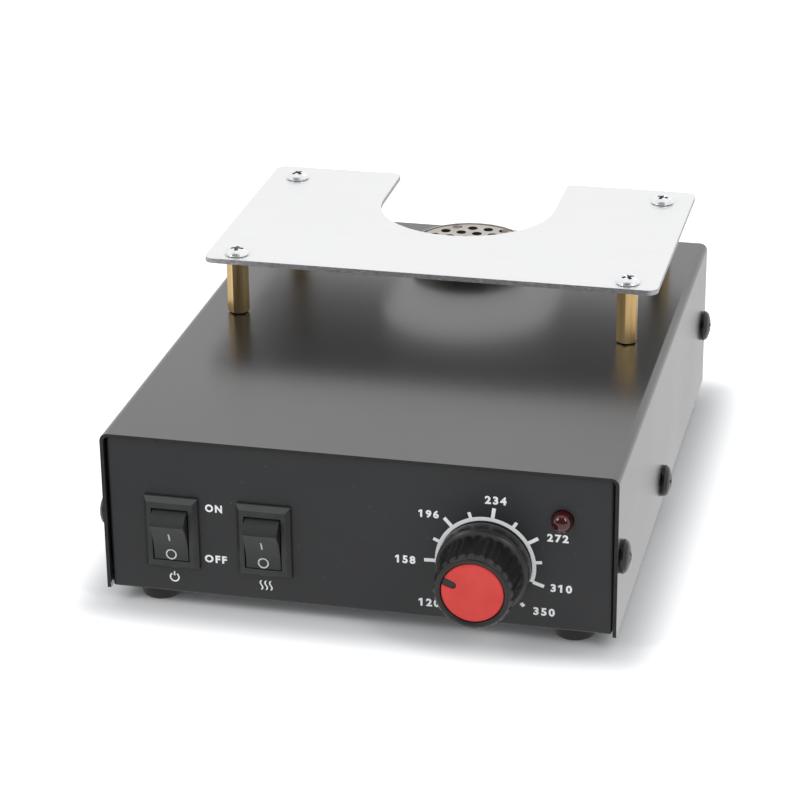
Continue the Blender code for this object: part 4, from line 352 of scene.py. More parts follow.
class Nodes:
    """A small helper that wires one Principled material."""

    def __init__(self, name, colour, roughness, metallic=0.0, **sockets):
        self.name = name
        self.material = bpy.data.materials.new("finish_" + name)
        self.material.use_nodes = True
        self.tree = self.material.node_tree
        self.shader = self.tree.nodes["Principled BSDF"]
        self.shader.inputs["Base Color"].default_value = (*colour, 1)
        self.shader.inputs["Roughness"].default_value = roughness
        self.shader.inputs["Metallic"].default_value = metallic
        for socket, value in sockets.items():
            self.shader.inputs[socket.replace("_", " ")].default_value = value
        self.coordinates = self.new("ShaderNodeTexCoord").outputs["Object"]
        self.base = None

    def new(self, kind, **settings):
        node = self.tree.nodes.new(kind)
        for key, value in settings.items():
            setattr(node, key, value)
        return node

    def link(self, source, target):
        self.tree.links.new(source, target)

    def noise(self, scale, detail=3.0, stretch=(1, 1, 1)):
        """Soft noise, finer along an axis that has a larger stretch."""
        mapping = self.new("ShaderNodeMapping")
        mapping.inputs["Scale"].default_value = stretch
        self.link(self.coordinates, mapping.inputs["Vector"])
        node = self.new("ShaderNodeTexNoise")
        node.inputs["Scale"].default_value = scale
        node.inputs["Detail"].default_value = detail
        self.link(mapping.outputs["Vector"], node.inputs["Vector"])
        return node.outputs["Fac"]

    def specks(self, scale, size):
        """1 inside sparse round specks, 0 elsewhere."""
        cells = self.new("ShaderNodeTexVoronoi")
        cells.inputs["Scale"].default_value = scale
        self.link(self.coordinates, cells.inputs["Vector"])
        return self.ramp(cells.outputs["Distance"], 1.0, 0.0, size * 0.5, size)

    def ramp(self, factor, low, high, start=0.35, end=0.65):
        """Low and high are numbers or colours that the factor runs between."""
        node = self.new("ShaderNodeMapRange")
        node.inputs["From Min"].default_value = start
        node.inputs["From Max"].default_value = end
        self.link(factor, node.inputs["Value"])
        if isinstance(low, tuple):
            return self.mix(node.outputs["Result"], low, high)
        node.inputs["To Min"].default_value = low
        node.inputs["To Max"].default_value = high
        return node.outputs["Result"]

    def mix(self, factor, low, high):
        """A blend of two colours, each given as a colour or as a socket."""
        node = self.new("ShaderNodeMix", data_type="RGBA")
        for value, place in ((low, 6), (high, 7)):
            if isinstance(value, tuple):
                node.inputs[place].default_value = (*value, 1)
            else:
                self.link(value, node.inputs[place])
        self.link(factor, node.inputs["Factor"])
        return node.outputs[2]

    def paint(self, base):
        """Make a socket the base colour."""
        self.base = base
        self.link(base, self.shader.inputs["Base Color"])

    def colour(self, factor, low, high, start=0.35, end=0.65):
        self.paint(self.ramp(factor, low, high, start, end))

    def dust(self, scale, size, colour):
        """Sparse fine specks over the colour."""
        self.paint(self.mix(self.specks(scale, size), self.base, colour))

    def painted_top_light(self, colour):
        """Painted light: a lighter colour on the faces that look up, as if lit from above."""
        parts = self.new("ShaderNodeSeparateXYZ")
        self.link(self.new("ShaderNodeNewGeometry").outputs["Normal"], parts.inputs[0])
        self.paint(self.mix(self.ramp(parts.outputs["Z"], 0.0, 1.0, 0.08, 0.42), self.base, colour))

    def roughness(self, factor, low, high, start=0.35, end=0.65):
        self.link(self.ramp(factor, low, high, start, end), self.shader.inputs["Roughness"])

    def bump(self, factor, strength, distance):
        """A fine relief."""
        node = self.new("ShaderNodeBump")
        node.inputs["Strength"].default_value = strength
        node.inputs["Distance"].default_value = distance
        self.link(factor, node.inputs["Height"])
        self.link(node.outputs["Normal"], self.shader.inputs["Normal"])


def make_materials():
    """Every material, by its name."""
    made = {}

    def keep(nodes):
        made[nodes.name] = nodes.material
        return nodes

    coat = {"IOR": 1.8, "Coat_Weight": 0.25, "Coat_Roughness": 0.2}
    paint = keep(Nodes("cover_paint", srgb(30, 30, 31), 0.25, **coat))
    paint.colour(paint.noise(9, 2), srgb(26, 26, 27), srgb(34, 34, 35), 0.2, 0.8)
    paint.dust(300, 0.035, srgb(95, 95, 95))
    paint.roughness(paint.noise(14, 2), 0.22, 0.29, 0.2, 0.8)
    paint.bump(paint.noise(1500, 1), 0.06, 0.00006)

    edge = keep(Nodes("cut_edge", srgb(27, 27, 29), 0.5, Specular_IOR_Level=0.4))
    edge.colour(edge.noise(400, 3), srgb(22, 22, 24), srgb(33, 33, 35))

    panel = keep(Nodes("panel_paint", srgb(34, 35, 37), 0.50))
    panel.colour(panel.noise(14, 2), srgb(31, 32, 34), srgb(37, 38, 40))
    panel.dust(260, 0.042, srgb(96, 96, 98))
    panel.roughness(panel.noise(25, 3), 0.46, 0.56)
    panel.bump(panel.noise(2400, 2), 0.25, 0.00004)

    plate = keep(Nodes("plate_metal", (0.90, 0.90, 0.905), 0.45, 0.7))
    plate.roughness(plate.noise(60, 4, (1, 14, 1)), 0.44, 0.48)
    plate.colour(plate.noise(40, 3, (1, 10, 1)), (0.895, 0.895, 0.900), (0.905, 0.905, 0.909))
    plate.bump(plate.noise(900, 2, (1, 6, 1)), 0.03, 0.00003)

    # painted shade: the board plate's side faces get a darker, streaked metal than its top
    rim = keep(Nodes("plate_edge_painted_shade", (0.44, 0.44, 0.45), 0.4, 0.7))
    rim.colour(rim.noise(600, 3, (1, 1, 3)), (0.30, 0.30, 0.31), (0.52, 0.52, 0.53))

    # painted shade: a dark steel for the walls and floor of the screws' cross recesses
    hollow = keep(Nodes("recess_painted_shade", (0.16, 0.165, 0.17), 0.45, 0.8))
    hollow.colour(hollow.noise(700, 3), (0.10, 0.105, 0.11), (0.22, 0.225, 0.23))

    brass = keep(Nodes("brass", srgb(214, 184, 132), 0.34, 1.0))
    brass.colour(brass.noise(420, 3, (1, 1, 0.06)), srgb(202, 168, 112), srgb(224, 196, 146))
    brass.roughness(brass.noise(500, 3, (1, 1, 0.08)), 0.28, 0.42)
    brass.bump(brass.noise(900, 2, (1, 1, 0.08)), 0.12, 0.00003)

    steel = keep(Nodes("bright_steel", (0.80, 0.81, 0.82), 0.20, 1.0))
    steel.roughness(steel.noise(700, 3), 0.12, 0.24)
    steel.colour(steel.noise(500, 2), (0.80, 0.81, 0.83), (0.92, 0.92, 0.93))

    black = keep(Nodes("black_steel", srgb(22, 22, 24), 0.28, 0.1))
    black.roughness(black.noise(600, 3), 0.20, 0.32)
    black.colour(black.noise(300, 2), srgb(17, 17, 18), srgb(26, 26, 28))

    rubber = keep(Nodes("rubber", srgb(24, 24, 25), 0.72))
    rubber.colour(rubber.noise(300, 3), srgb(20, 20, 21), srgb(28, 28, 29))
    rubber.bump(rubber.noise(1200, 3), 0.3, 0.00006)

    switch = keep(Nodes("switch_plastic", srgb(38, 39, 40), 0.46))
    switch.colour(switch.noise(120, 2), srgb(34, 35, 36), srgb(42, 43, 44))
    switch.roughness(switch.noise(260, 3), 0.40, 0.52)
    switch.bump(switch.noise(2600, 2), 0.35, 0.00004)

    bezel = keep(Nodes("bezel_plastic", srgb(38, 39, 40), 0.44))
    bezel.colour(bezel.noise(120, 2), srgb(34, 35, 36), srgb(42, 43, 44))
    # painted light: the bezel's faces that look up are made lighter
    bezel.painted_top_light(srgb(68, 70, 69))
    bezel.roughness(bezel.noise(260, 3), 0.38, 0.50)
    bezel.bump(bezel.noise(2600, 2), 0.3, 0.00004)

    knob = keep(Nodes("knob_plastic", srgb(30, 31, 30), 0.30))
    knob.roughness(knob.noise(220, 3), 0.32, 0.42)
    knob.colour(knob.noise(160, 2), srgb(22, 23, 22), srgb(30, 31, 29))
    knob.dust(700, 0.06, srgb(90, 92, 90))
    knob.bump(knob.noise(1400, 2), 0.12, 0.00003)

    red = keep(Nodes("red_plastic", srgb(203, 62, 58), 0.42))
    red.colour(red.noise(140, 2), srgb(212, 56, 50), srgb(222, 66, 60))
    red.roughness(red.noise(300, 3), 0.36, 0.48)
    red.bump(red.noise(1800, 2), 0.15, 0.00003)

    lens = keep(Nodes("red_lens", srgb(92, 14, 16), 0.10, Coat_Weight=0.5, Coat_Roughness=0.03))
    lens.colour(lens.noise(260, 2), srgb(52, 6, 8), srgb(72, 12, 14))
    lens.roughness(lens.noise(400, 2), 0.05, 0.11)

    ceramic = keep(Nodes("ceramic", srgb(226, 219, 210), 0.75))
    ceramic.colour(ceramic.noise(120, 4), srgb(200, 191, 181), srgb(222, 215, 208))
    ceramic.bump(ceramic.noise(1500, 3), 0.35, 0.00005)

    # painted shade: a dark colour for the walls of the outlet disc's holes
    hole_shade = keep(Nodes("hole_painted_shade", srgb(52, 47, 42), 0.85))
    hole_shade.colour(hole_shade.noise(900, 3), srgb(38, 34, 30), srgb(70, 63, 56))

    sleeve = keep(Nodes("barrel_steel", (0.42, 0.40, 0.38), 0.34, 1.0))
    sleeve.roughness(sleeve.noise(200, 3, (1, 1, 0.2)), 0.26, 0.44)
    sleeve.colour(sleeve.noise(60, 3), (0.34, 0.32, 0.30), (0.50, 0.48, 0.46))

    mica = keep(Nodes("mica", srgb(104, 92, 72), 0.55))
    mica.colour(mica.noise(180, 4), srgb(44, 38, 30), srgb(74, 66, 54))

    coil = keep(Nodes("coil_wire", (0.14, 0.12, 0.11), 0.50, 0.8))
    coil.colour(coil.noise(300, 3), (0.08, 0.07, 0.07), (0.20, 0.17, 0.15))

    fan = keep(Nodes("fan_plastic", srgb(34, 34, 35), 0.45))
    fan.roughness(fan.noise(250, 3), 0.38, 0.52)
    fan.colour(fan.noise(100, 2), srgb(30, 30, 31), srgb(39, 39, 40))

    board = keep(Nodes("board_green", srgb(28, 92, 50), 0.35))
    board.colour(board.noise(220, 3), srgb(22, 80, 42), srgb(36, 104, 60))

    nylon = keep(Nodes("nylon", srgb(222, 220, 210), 0.45))
    nylon.colour(nylon.noise(160, 3), srgb(214, 212, 200), srgb(230, 228, 220))

    core = keep(Nodes("transformer_steel", srgb(92, 90, 88), 0.50, 0.4))
    core.colour(core.noise(900, 2, (1, 20, 1)), srgb(74, 72, 70), srgb(110, 108, 105))
    core.bump(core.noise(900, 2, (1, 20, 1)), 0.3, 0.00005)

    pot = keep(Nodes("pot_steel", (0.55, 0.55, 0.56), 0.32, 1.0))
    pot.roughness(pot.noise(300, 3), 0.26, 0.42)
    pot.colour(pot.noise(200, 3), (0.50, 0.50, 0.51), (0.60, 0.60, 0.61))

    sink = keep(Nodes("heatsink_metal", (0.70, 0.71, 0.72), 0.36, 1.0))
    sink.roughness(sink.noise(300, 3, (1, 1, 0.1)), 0.28, 0.46)

    block = keep(Nodes("terminal_plastic", srgb(40, 120, 70), 0.45))
    block.colour(block.noise(160, 2), srgb(34, 108, 62), srgb(48, 132, 80))

    lead = keep(Nodes("lead_grey", srgb(110, 110, 112), 0.50))
    lead.colour(lead.noise(120, 2), srgb(100, 100, 102), srgb(122, 122, 124))

    white = keep(Nodes("print_white", srgb(232, 233, 234), 0.60))
    white.colour(white.noise(1600, 3), srgb(244, 245, 246), srgb(252, 252, 252))

    grey = keep(Nodes("print_grey", srgb(196, 198, 199), 0.60))
    grey.colour(grey.noise(1600, 3), srgb(186, 188, 190), srgb(212, 214, 215))
    return made


MATERIALS = make_materials()


def dress_cad_nodes():
    """Every CAD node gets the worked-out material of its slot."""
    for part in frame["record"]["subparts"]:
        node = NODES[part["node"]]
        node.data.materials.clear()
        node.data.materials.append(MATERIALS[part["material_slot"]])


# Meshes


def worked_in(made):
    """The object's mesh with its modifiers worked in; the object itself goes."""
    bpy.context.view_layer.update()
    graph = bpy.context.evaluated_depsgraph_get()
    mesh = bpy.data.meshes.new_from_object(made.evaluated_get(graph))
    bpy.data.objects.remove(made, do_unlink=True)
    return mesh


def mesh_from(name, bm, bevel=0.0, limit=30, sharp=40):
    """A smooth mesh with rounded edges, on which flat faces still look flat."""
    bmesh.ops.recalc_face_normals(bm, faces=bm.faces)
    mesh = bpy.data.meshes.new(name)
    bm.to_mesh(mesh)
    bm.free()
    for extra in ("custom_normal", "sharp_face", "sharp_edge"):
        if extra in mesh.attributes:
            mesh.attributes.remove(mesh.attributes[extra])
    if bevel:
        rounded = linked(name, mesh)
        edges = rounded.modifiers.new("edges", "BEVEL")
        edges.width = bevel
        edges.segments = 3
        edges.limit_method = "ANGLE"
        edges.angle_limit = math.radians(limit)
        mesh = worked_in(rounded)
    mesh.shade_smooth()
    mesh.set_sharp_from_angle(angle=math.radians(sharp))
    shaded = linked(name, mesh)
    shaded.modifiers.new("normals", "WEIGHTED_NORMAL").keep_sharp = True
    return worked_in(shaded)


def piece(name, bm, material, body=ROOT, place=None, replaces=(), slot=None, second=None, **edges):
    """One shown piece; second is another material and the test of the faces that have it."""
    mesh = mesh_from(name, bm, **edges)
    mesh.materials.clear()
    mesh.materials.append(MATERIALS[material])
    if second:
        mesh.materials.append(MATERIALS[second[0]])
        for face in mesh.polygons:
            face.material_index = int(second[1](face))
    made = linked(name, mesh)
    if place is not None:
        made.matrix_world = place
    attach(made, body)
    if replaces:
        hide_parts(*replaces)


def cad_copy(node):
    """The CAD node's form with its flat faces whole again, ready for rounder edges."""
    bm = bmesh.new()
    bm.from_mesh(NODES[node].data)
    bmesh.ops.remove_doubles(bm, verts=bm.verts, dist=CAD_NEAR)
    bmesh.ops.dissolve_limit(bm, angle_limit=FLAT_ANGLE, verts=bm.verts, edges=bm.edges)
    return bm


def finer(node, material, bevel=0.0, **edges):
    """The CAD node's own form, with rounder edges."""
    piece(f"fine_{node}", cad_copy(node), material, replaces=(node,), bevel=bevel, **edges)


def lathe(bm, profile, sides, reach=None):
    """Turn (radius, height) points about Z; reach(radius, height, angle) may move a point in or out."""
    rings = []
    for radius, height in profile:
        if radius == 0:
            rings.append([bm.verts.new((0, 0, height))] * sides)
            continue
        ring = []
        for index in range(sides):
            angle = 2 * math.pi * index / sides
            out = reach(radius, height, angle) if reach else radius
            ring.append(bm.verts.new((out * math.cos(angle), out * math.sin(angle), height)))
        rings.append(ring)
    for upper, lower in zip(rings, rings[1:]):
        for index in range(sides):
            after = (index + 1) % sides
            corners = [upper[index], lower[index], lower[after], upper[after]]
            unique = list(dict.fromkeys(corners))
            if len(unique) > 2:
                bm.faces.new(unique)
    return bm


def bridged(bm, first, second):
    """Two rings of corners, closed into one block."""
    bm.faces.new(first)
    bm.faces.new(second[::-1])
    for index in range(len(first)):
        after = (index + 1) % len(first)
        bm.faces.new((first[index], second[index], second[after], first[after]))


def prism(bm, outline, low, high, shrink=1.0):
    """A straight block of an outline in X and Y, whose low end may be smaller."""
    tops = [bm.verts.new((x, y, high)) for x, y in outline]
    bottoms = [bm.verts.new((x * shrink, y * shrink, low)) for x, y in outline]
    bridged(bm, tops, bottoms)
    return bm


def bar(half_width, low, high):
    """The outline of an upright bar from low to high."""
    return [(-half_width, low), (half_width, low), (half_width, high), (-half_width, high)]


def ring_outlines(inner, outer, start, end, pieces):
    """Outlines of a ring in short pieces; angles run clockwise from up."""
    outlines = []
    for index in range(pieces):
        a, b = (math.radians(start + (end - start) * (index + k) / pieces) for k in (0, 1))
        corners = [(outer, a), (outer, b), (inner, b), (inner, a)]
        outlines.append([(r * math.sin(t), r * math.cos(t)) for r, t in corners])
    return outlines


def merged(bm):
    """bm with blocks that meet face to face made into one."""
    bmesh.ops.remove_doubles(bm, verts=bm.verts, dist=NEAR)
    inner = [face for face in bm.faces if all(len(edge.link_faces) > 2 for edge in face.edges)]
    bmesh.ops.delete(bm, geom=inner, context="FACES_ONLY")
    return bm


def cut_away(bm, cutter):
    """bm without the space of cutter."""
    whole = bpy.data.meshes.new("whole")
    tool = bpy.data.meshes.new("tool")
    for source, mesh in ((bm, whole), (cutter, tool)):
        bmesh.ops.recalc_face_normals(source, faces=source.faces)
        source.to_mesh(mesh)
        source.free()
    first, second = linked("whole", whole), linked("tool", tool)
    step = first.modifiers.new("cut", "BOOLEAN")
    step.operation = "DIFFERENCE"
    step.solver = "EXACT"
    step.object = second
    mesh = worked_in(first)
    bpy.data.objects.remove(second, do_unlink=True)
    out = bmesh.new()
    out.from_mesh(mesh)
    return out


# Screws, standoffs, sheets and feet


def cross(width, length):
    """The outline of a cross recess, from half its slots' width and half their length."""
    half = [(width, length), (-width, length), (-width, width), (-length, width)]
    half += [(-length, -width), (-width, -width)]
    return half + [(-x, -y) for x, y in half]


def screw_head(node, material, place, radius, height, rim, recess, fullness):
    """A domed head with a flat rim and a cross recess, on a short shank; the recess's walls and floor get a
    dark steel as painted shade.
    """
    width, length, depth = recess
    steps = 10
    profile = [(0.0, height)]
    for step in range(1, steps + 1):
        share = step / steps
        rise = (1 - share**fullness) ** (1 / fullness)
        inset = 0.985 if step == steps else 1
        profile.append((radius * share * inset, rim + (height - rim) * rise))
    profile += [(radius, rim - 0.05 * MM), (radius, 0.08 * MM), (radius - 0.08 * MM, 0.0)]
    shank, shank_end = radius * 0.40, -3 * MM
    profile += [(shank, 0.0), (shank, shank_end), (0.0, shank_end)]
    slots = prism(bmesh.new(), cross(width, length), height - depth, height + 0.3 * MM, 0.55)
    bm = cut_away(lathe(bmesh.new(), profile, 48), slots)

    def in_recess(face):
        wall = abs(face.normal.z) < 0.45
        bottom = rim * 0.2 < face.center.z < height - depth + 0.1 * MM
        return face.center.xy.length < length and (wall or bottom)

    # the recess's faces take the dark steel of painted shade
    second = ("recess_painted_shade", in_recess)
    piece(f"fine_{node}", bm, material, place=place, replaces=(node,), second=second, sharp=32)


def screws():
    """The four screws of the board plate, and the three cover screws of each side."""
    for corner, turn in PLATE_TURNS.items():
        node = f"plate_screw_{corner}"
        middle = middle_of(node)
        place = Matrix.Translation((middle.x, middle.y, PLATE_TOP + SEAT_GAP))
        place = place @ Matrix.Rotation(math.radians(turn), 4, "Z")
        screw_head(node, "bright_steel", place, *PLATE_HEAD)
    for side, sign in (("left", -1), ("right", 1)):
        outward = Matrix.Rotation(math.radians(90 * sign), 4, "Y")
        for row, turn in COVER_TURNS.items():
            node = f"cover_screw_{side}_{row}"
            middle = middle_of(node)
            place = Matrix.Translation((sign * (cover_high.x + SEAT_GAP), middle.y, middle.z))
            place = place @ outward @ Matrix.Rotation(math.radians(turn), 4, "Z")
            screw_head(node, "black_steel", place, *COVER_HEAD)


def chassis():
    """The folded chassis, with its lower bends tighter and its base a touch lower."""
    bm = cad_copy("chassis")
    for vert in bm.verts:
        for end, face in ((-1, chassis_low.y), (1, chassis_high.y)):
            centre = Vector((0, face - end * BEND, chassis_low.z + BEND))
            arm = Vector((0, vert.co.y, vert.co.z)) - centre
            if arm.y * end > -NEAR and arm.z < NEAR:
                arm = arm.normalized() * max(arm.length - TIGHTER, LEAST_BEND)
                vert.co.y = centre.y + end * TIGHTER + arm.y
                vert.co.z = centre.z - TIGHTER - BASE_DROP + arm.z
                break
        else:
            if vert.co.z < chassis_low.z + BASE_REACH:
                vert.co.z -= BASE_DROP
    piece("fine_chassis", bm, "panel_paint", replaces=("chassis",))


def foot(node):
    """A round rubber foot, a little wider at its top, with a soft lower edge and a hollow below."""
    middle = middle_of(node)
    top = chassis_low.z - BASE_DROP - 0.02 * MM
    soft, steps = 0.6 * MM, 6
    profile = [(0.0, top), (5.7 * MM, top), (5.92 * MM, top - 0.08 * MM), (6.0 * MM, top - 0.3 * MM)]
    for step in range(steps + 1):
        angle = math.radians(90 * step / steps)
        profile.append((4.92 * MM + soft * math.cos(angle), soft - soft * math.sin(angle)))
    profile += in_mm([(2.2, 0.0), (2.1, 1.4), (0.0, 1.4)])
    place = Matrix.Translation((middle.x, middle.y, 0))
    piece(f"fine_{node}", lathe(bmesh.new(), profile, 64), "rubber", place=place, replaces=(node,))


def hardware():
    """The standoffs, feet and sheets, and the barrel and inlet that show through their openings."""
    for corner in CORNERS:
        finer(f"standoff_{corner}", "brass", 0.1 * MM)
        foot(f"foot_{corner}")
    ends = ("cut_edge", lambda face: abs(face.normal.y) > 0.9)
    finer("top_cover", "cover_paint", 0.2 * MM, second=ends)
    # the plate's side faces take the darker metal of painted shade
    rims = ("plate_edge_painted_shade", lambda face: abs(face.normal.z) < 0.5)
    finer("board_plate", "plate_metal", 0.22 * MM, second=rims)
    chassis()
    finer("heater_barrel", "barrel_steel")
    finer("mains_inlet", "switch_plastic", 0.12 * MM)


# Switches


def face_reach(up):
    """How far the rocker's dished face stands out from its pivot."""
    share = (up - FACE_LOW) / (FACE_TOP - FACE_LOW)
    return FACE_FLAT - FACE_DISH * 4 * share * (1 - share)


def rocker_outline():
    """The rocker seen from its side: how far out from its pivot, and how far up."""
    round_end, steps = [], 10
    for step in range(steps + 1):
        angle = math.radians(FACE_ANGLE + END_ARC * (1 - step / steps))
        round_end.append((ROCKER_RADIUS * math.cos(angle), ROCKER_RADIUS * math.sin(angle)))
    face, steps = [], 16
    for step in range(1, steps):
        up = FACE_TOP + (FACE_LOW - FACE_TOP) * step / steps
        face.append((face_reach(up), up))
    lower_end = [(out, -up - FACE_LONGER) for out, up in reversed(round_end)]
    return round_end + face + lower_end + in_mm([(-1.8, -4.2), (-1.8, 4.2)])


def rocker_mark(name, label, outlines, place):
    """A printed mark that follows the rocker's dished face."""
    bm = bmesh.new()
    for outline in outlines:
        lower = [bm.verts.new((across, -face_reach(up), up)) for across, up in outline]
        upper = [bm.verts.new((across, -face_reach(up) - PRINT, up)) for across, up in outline]
        bridged(bm, upper, lower)
    piece(f"{name}_mark_{label}", merged(bm), "print_grey", f"{name}_rocker", place, slot="switch_plastic")


def rocker(name):
    """The rocker, and its two printed marks."""
    node = f"{name}_rocker"
    body_low, body_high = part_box(f"{name}_switch_body")
    middle = (body_low + body_high) / 2
    pivot = Vector((middle.x, body_low.y + PIVOT_DEPTH, middle.z))
    place = Matrix.Translation(pivot) @ Matrix.Rotation(math.radians(ROCKER_TILT), 4, "X")
    outline = rocker_outline()
    bm = bmesh.new()
    left, right = (
        [bm.verts.new((side * ROCKER_HALF_WIDTH, -out, up)) for out, up in outline] for side in (-1, 1)
    )
    bridged(bm, left, right)
    edges = {"bevel": 0.14 * MM, "limit": 20, "sharp": 30}
    piece(f"fine_{node}", bm, "switch_plastic", node, place, (node,), **edges)
    step = (BAR_HIGH - BAR_LOW) / BAR_PIECES
    lows = [BAR_LOW + step * index for index in range(BAR_PIECES)]
    rocker_mark(name, "on", [bar(BAR_HALF_WIDTH, low, low + step) for low in lows], place)
    ring = ring_outlines(MARK_INNER, MARK_OUTER, 0, 360, 40)
    ring = [[(across, MARK_OFF + up) for across, up in outline] for outline in ring]
    rocker_mark(name, "off", ring, place)


def switches():
    """Each switch's body, with its opening's lip lowered below the longer rocker, and its rocker."""
    for name in ("power", "heater"):
        body = f"{name}_switch_body"
        middle = middle_of(body)
        bm = cad_copy(body)
        for vert in bm.verts:
            inside = abs(vert.co.x - middle.x) < LIP_HALF_WIDTH
            if inside and LIP_SPAN[0] < middle.z - vert.co.z < LIP_SPAN[1]:
                vert.co.z -= LIP_DROP
        edges = {"slot": "switch_plastic", "bevel": 0.1 * MM}
        piece(f"fine_{body}", bm, "bezel_plastic", replaces=(body,), **edges)
        rocker(name)


# The knob, the LED and the outlet


def grip(place):
    """The fluted grip on its stepped skirt, hollow behind and dished in front for the cap."""

    def reach(radius, height, angle):
        low, high = GRIP_SPAN
        if not low < height < high or radius < GRIP_RADIUS:
            return radius
        groove = max(0.0, FLUTE_LAND + math.cos(angle * FLUTES)) / (1 + FLUTE_LAND)
        return radius - FLUTE_DEPTH * groove * min(1.0, (height - low) / GRIP_FADE)

    top = [(0.0, 16.0), (8.5, 16.0), (8.5, 17.25), (8.75, 17.5), (9.6, 17.5), (9.85, 17.4)]
    top += [(10.0, 17.15), (10.05, 16.8), (10.45, 16.45), (10.6, 16.2)]
    side = [(10.6 + 0.55 * step / 8, 16.2 - 9.7 * step / 8) for step in range(1, 9)]
    skirt = [(11.25, 6.2), (11.45, 5.8), (11.8, 5.4), (12.1, 5.1), (12.3, 5.0), (12.45, 4.85)]
    skirt += [(12.5, 4.6), (12.5, 1.2), (12.3, 1.0), (9.5, 1.0), (9.5, 5.8), (0.0, 5.8)]
    bm = lathe(bmesh.new(), in_mm(top + side + skirt), FLUTES * 14, reach)
    piece("fine_knob", bm, "knob_plastic", "temperature_knob", place, ("temperature_knob",), sharp=48)


def slot_outline():
    """The pointer's slot, from its round end near the middle out past the cap's edge."""
    outline, steps = [(SLOT_HALF_WIDTH, SLOT_END), (-SLOT_HALF_WIDTH, SLOT_END)], 12
    for step in range(steps + 1):
        angle = math.radians(180 + 180 * step / steps)
        rise = SLOT_HALF_WIDTH * math.sin(angle)
        outline.append((SLOT_HALF_WIDTH * math.cos(angle), SLOT_START + rise))
    return outline


def cap(place):
    """The red cap, slightly domed, with the pointer's slot cut through."""
    profile = [(0.0, 17.5), (3.0, 17.49), (5.5, 17.44), (7.2, 17.36), (7.9, 17.3), (8.15, 17.2)]
    profile += [(8.27, 17.05), (8.3, 16.85), (8.3, 16.1), (0.0, 16.1)]
    slot = prism(bmesh.new(), slot_outline(), 15 * MM, 19 * MM)
    bm = cut_away(lathe(bmesh.new(), in_mm(profile), 96), slot)
    edges = {"bevel": 0.12 * MM, "limit": 50}
    piece("fine_cap", bm, "red_plastic", "temperature_knob", place, ("knob_cap",), **edges)


def pointer(place):
    """The black tongue in the slot, a little lower than the cap."""
    outline = []
    for across, up in slot_outline():
        reach = min(up, TONGUE_END) - SLOT_START
        outline.append((across * TONGUE_SHARE, SLOT_START + reach * TONGUE_SHARE))
    bm = prism(bmesh.new(), outline, 15.9 * MM, 17.25 * MM)
    piece("pointer", bm, "knob_plastic", "temperature_knob", place, bevel=0.15 * MM)


def knob():
    """The knob's grip, cap and pointer, turned together."""
    place = on_panel(*DIAL) @ Matrix.Rotation(math.radians(KNOB_TURN), 4, "Z")
    grip(place)
    cap(place)
    pointer(place)


def led():
    """The LED: a round lens that stands out of the panel, with its collar behind."""
    profile, steps = [], 16
    for step in range(steps + 1):
        angle = math.radians(90 * step / steps)
        profile.append((LENS_RADIUS * math.sin(angle), LENS_OUT + LENS_RADIUS * math.cos(angle)))
    profile += [(LENS_RADIUS, COLLAR_FRONT), (COLLAR_RADIUS, COLLAR_FRONT)]
    profile += [(COLLAR_RADIUS, COLLAR_BACK), (0.0, COLLAR_BACK)]
    bm = lathe(bmesh.new(), profile, 64)
    place = on_panel(middle_of("indicator_led").x, LED_UP)
    piece("fine_led", bm, "red_lens", place=place, replaces=("indicator_led",))


def hole_centres():
    """The middles of the outlet's holes: one hole, and hexagonal rings around it."""
    centres = [Vector((0, 0))]
    for ring in range(1, HOLE_RINGS + 1):
        for side in range(6):
            start = Matrix.Rotation(math.radians(60 * side), 2) @ Vector((1, 0))
            along = Matrix.Rotation(math.radians(60 * (side + 2)), 2) @ Vector((1, 0))
            centres += [(start * ring + along * index) * HOLE_PITCH for index in range(ring)]
    return centres


def outlet():
    """The ceramic disc with its field of round holes, whose walls are darkened as painted shade."""
    low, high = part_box("outlet_disc")
    thick, radius, rim = (high.z - low.z) / 2, (high.x - low.x) / 2, 0.25 * MM
    profile = [(0.0, thick), (radius - rim, thick), (radius, thick - rim), (radius, -thick), (0.0, -thick)]
    cutter, sides = bmesh.new(), 28
    for centre in hole_centres():
        circle = []
        for index in range(sides):
            angle = 2 * math.pi * index / sides
            out = Vector((math.cos(angle), math.sin(angle))) * HOLE_RADIUS
            circle.append(centre + out)
        prism(cutter, circle, -2 * thick, 2 * thick)
    bm = cut_away(lathe(bmesh.new(), profile, 96), cutter)
    field = radius - 1.2 * MM
    # the hole walls take the dark colour of painted shade
    walls = ("hole_painted_shade", lambda face: abs(face.normal.z) < 0.3 and face.center.xy.length < field)
    place = Matrix.Translation((low + high) / 2) @ Matrix.Rotation(math.radians(DISC_TURN), 4, "Z")
    edges = {"bevel": 0.12 * MM, "limit": 50}
    piece("fine_disc", bm, "ceramic", place=place, replaces=("outlet_disc",), second=walls, **edges)


# Printed marks


def flat_print(name, outlines, place, thickness=PRINT):
    """Flat white marks: closed outlines in X and Y, on the face at place."""
    bm = bmesh.new()
    for outline in outlines:
        prism(bm, outline, 0.0, thickness)
    piece(name, merged(bm), "print_white", place=place, slot="panel_paint")


def narrow_glyphs(bm, height):
    """The lowest and highest corners of each tall and narrow glyph, such as a 1, from left to right."""
    found, left = [], set(bm.verts)
    while left:
        group, stack = [], [left.pop()]
        while stack:
            vert = stack.pop()
            group.append(vert.co)
            reached = {edge.other_vert(vert) for edge in vert.link_edges} & left
            left -= reached
            stack += reached
        low = Vector((min(c.x for c in group), min(c.y for c in group)))
        high = Vector((max(c.x for c in group), max(c.y for c in group)))
        if high.x - low.x < NARROW * height and high.y - low.y > 0.8 * height:
            found.append((low, high))
    return sorted(found, key=lambda corners: corners[0].x)


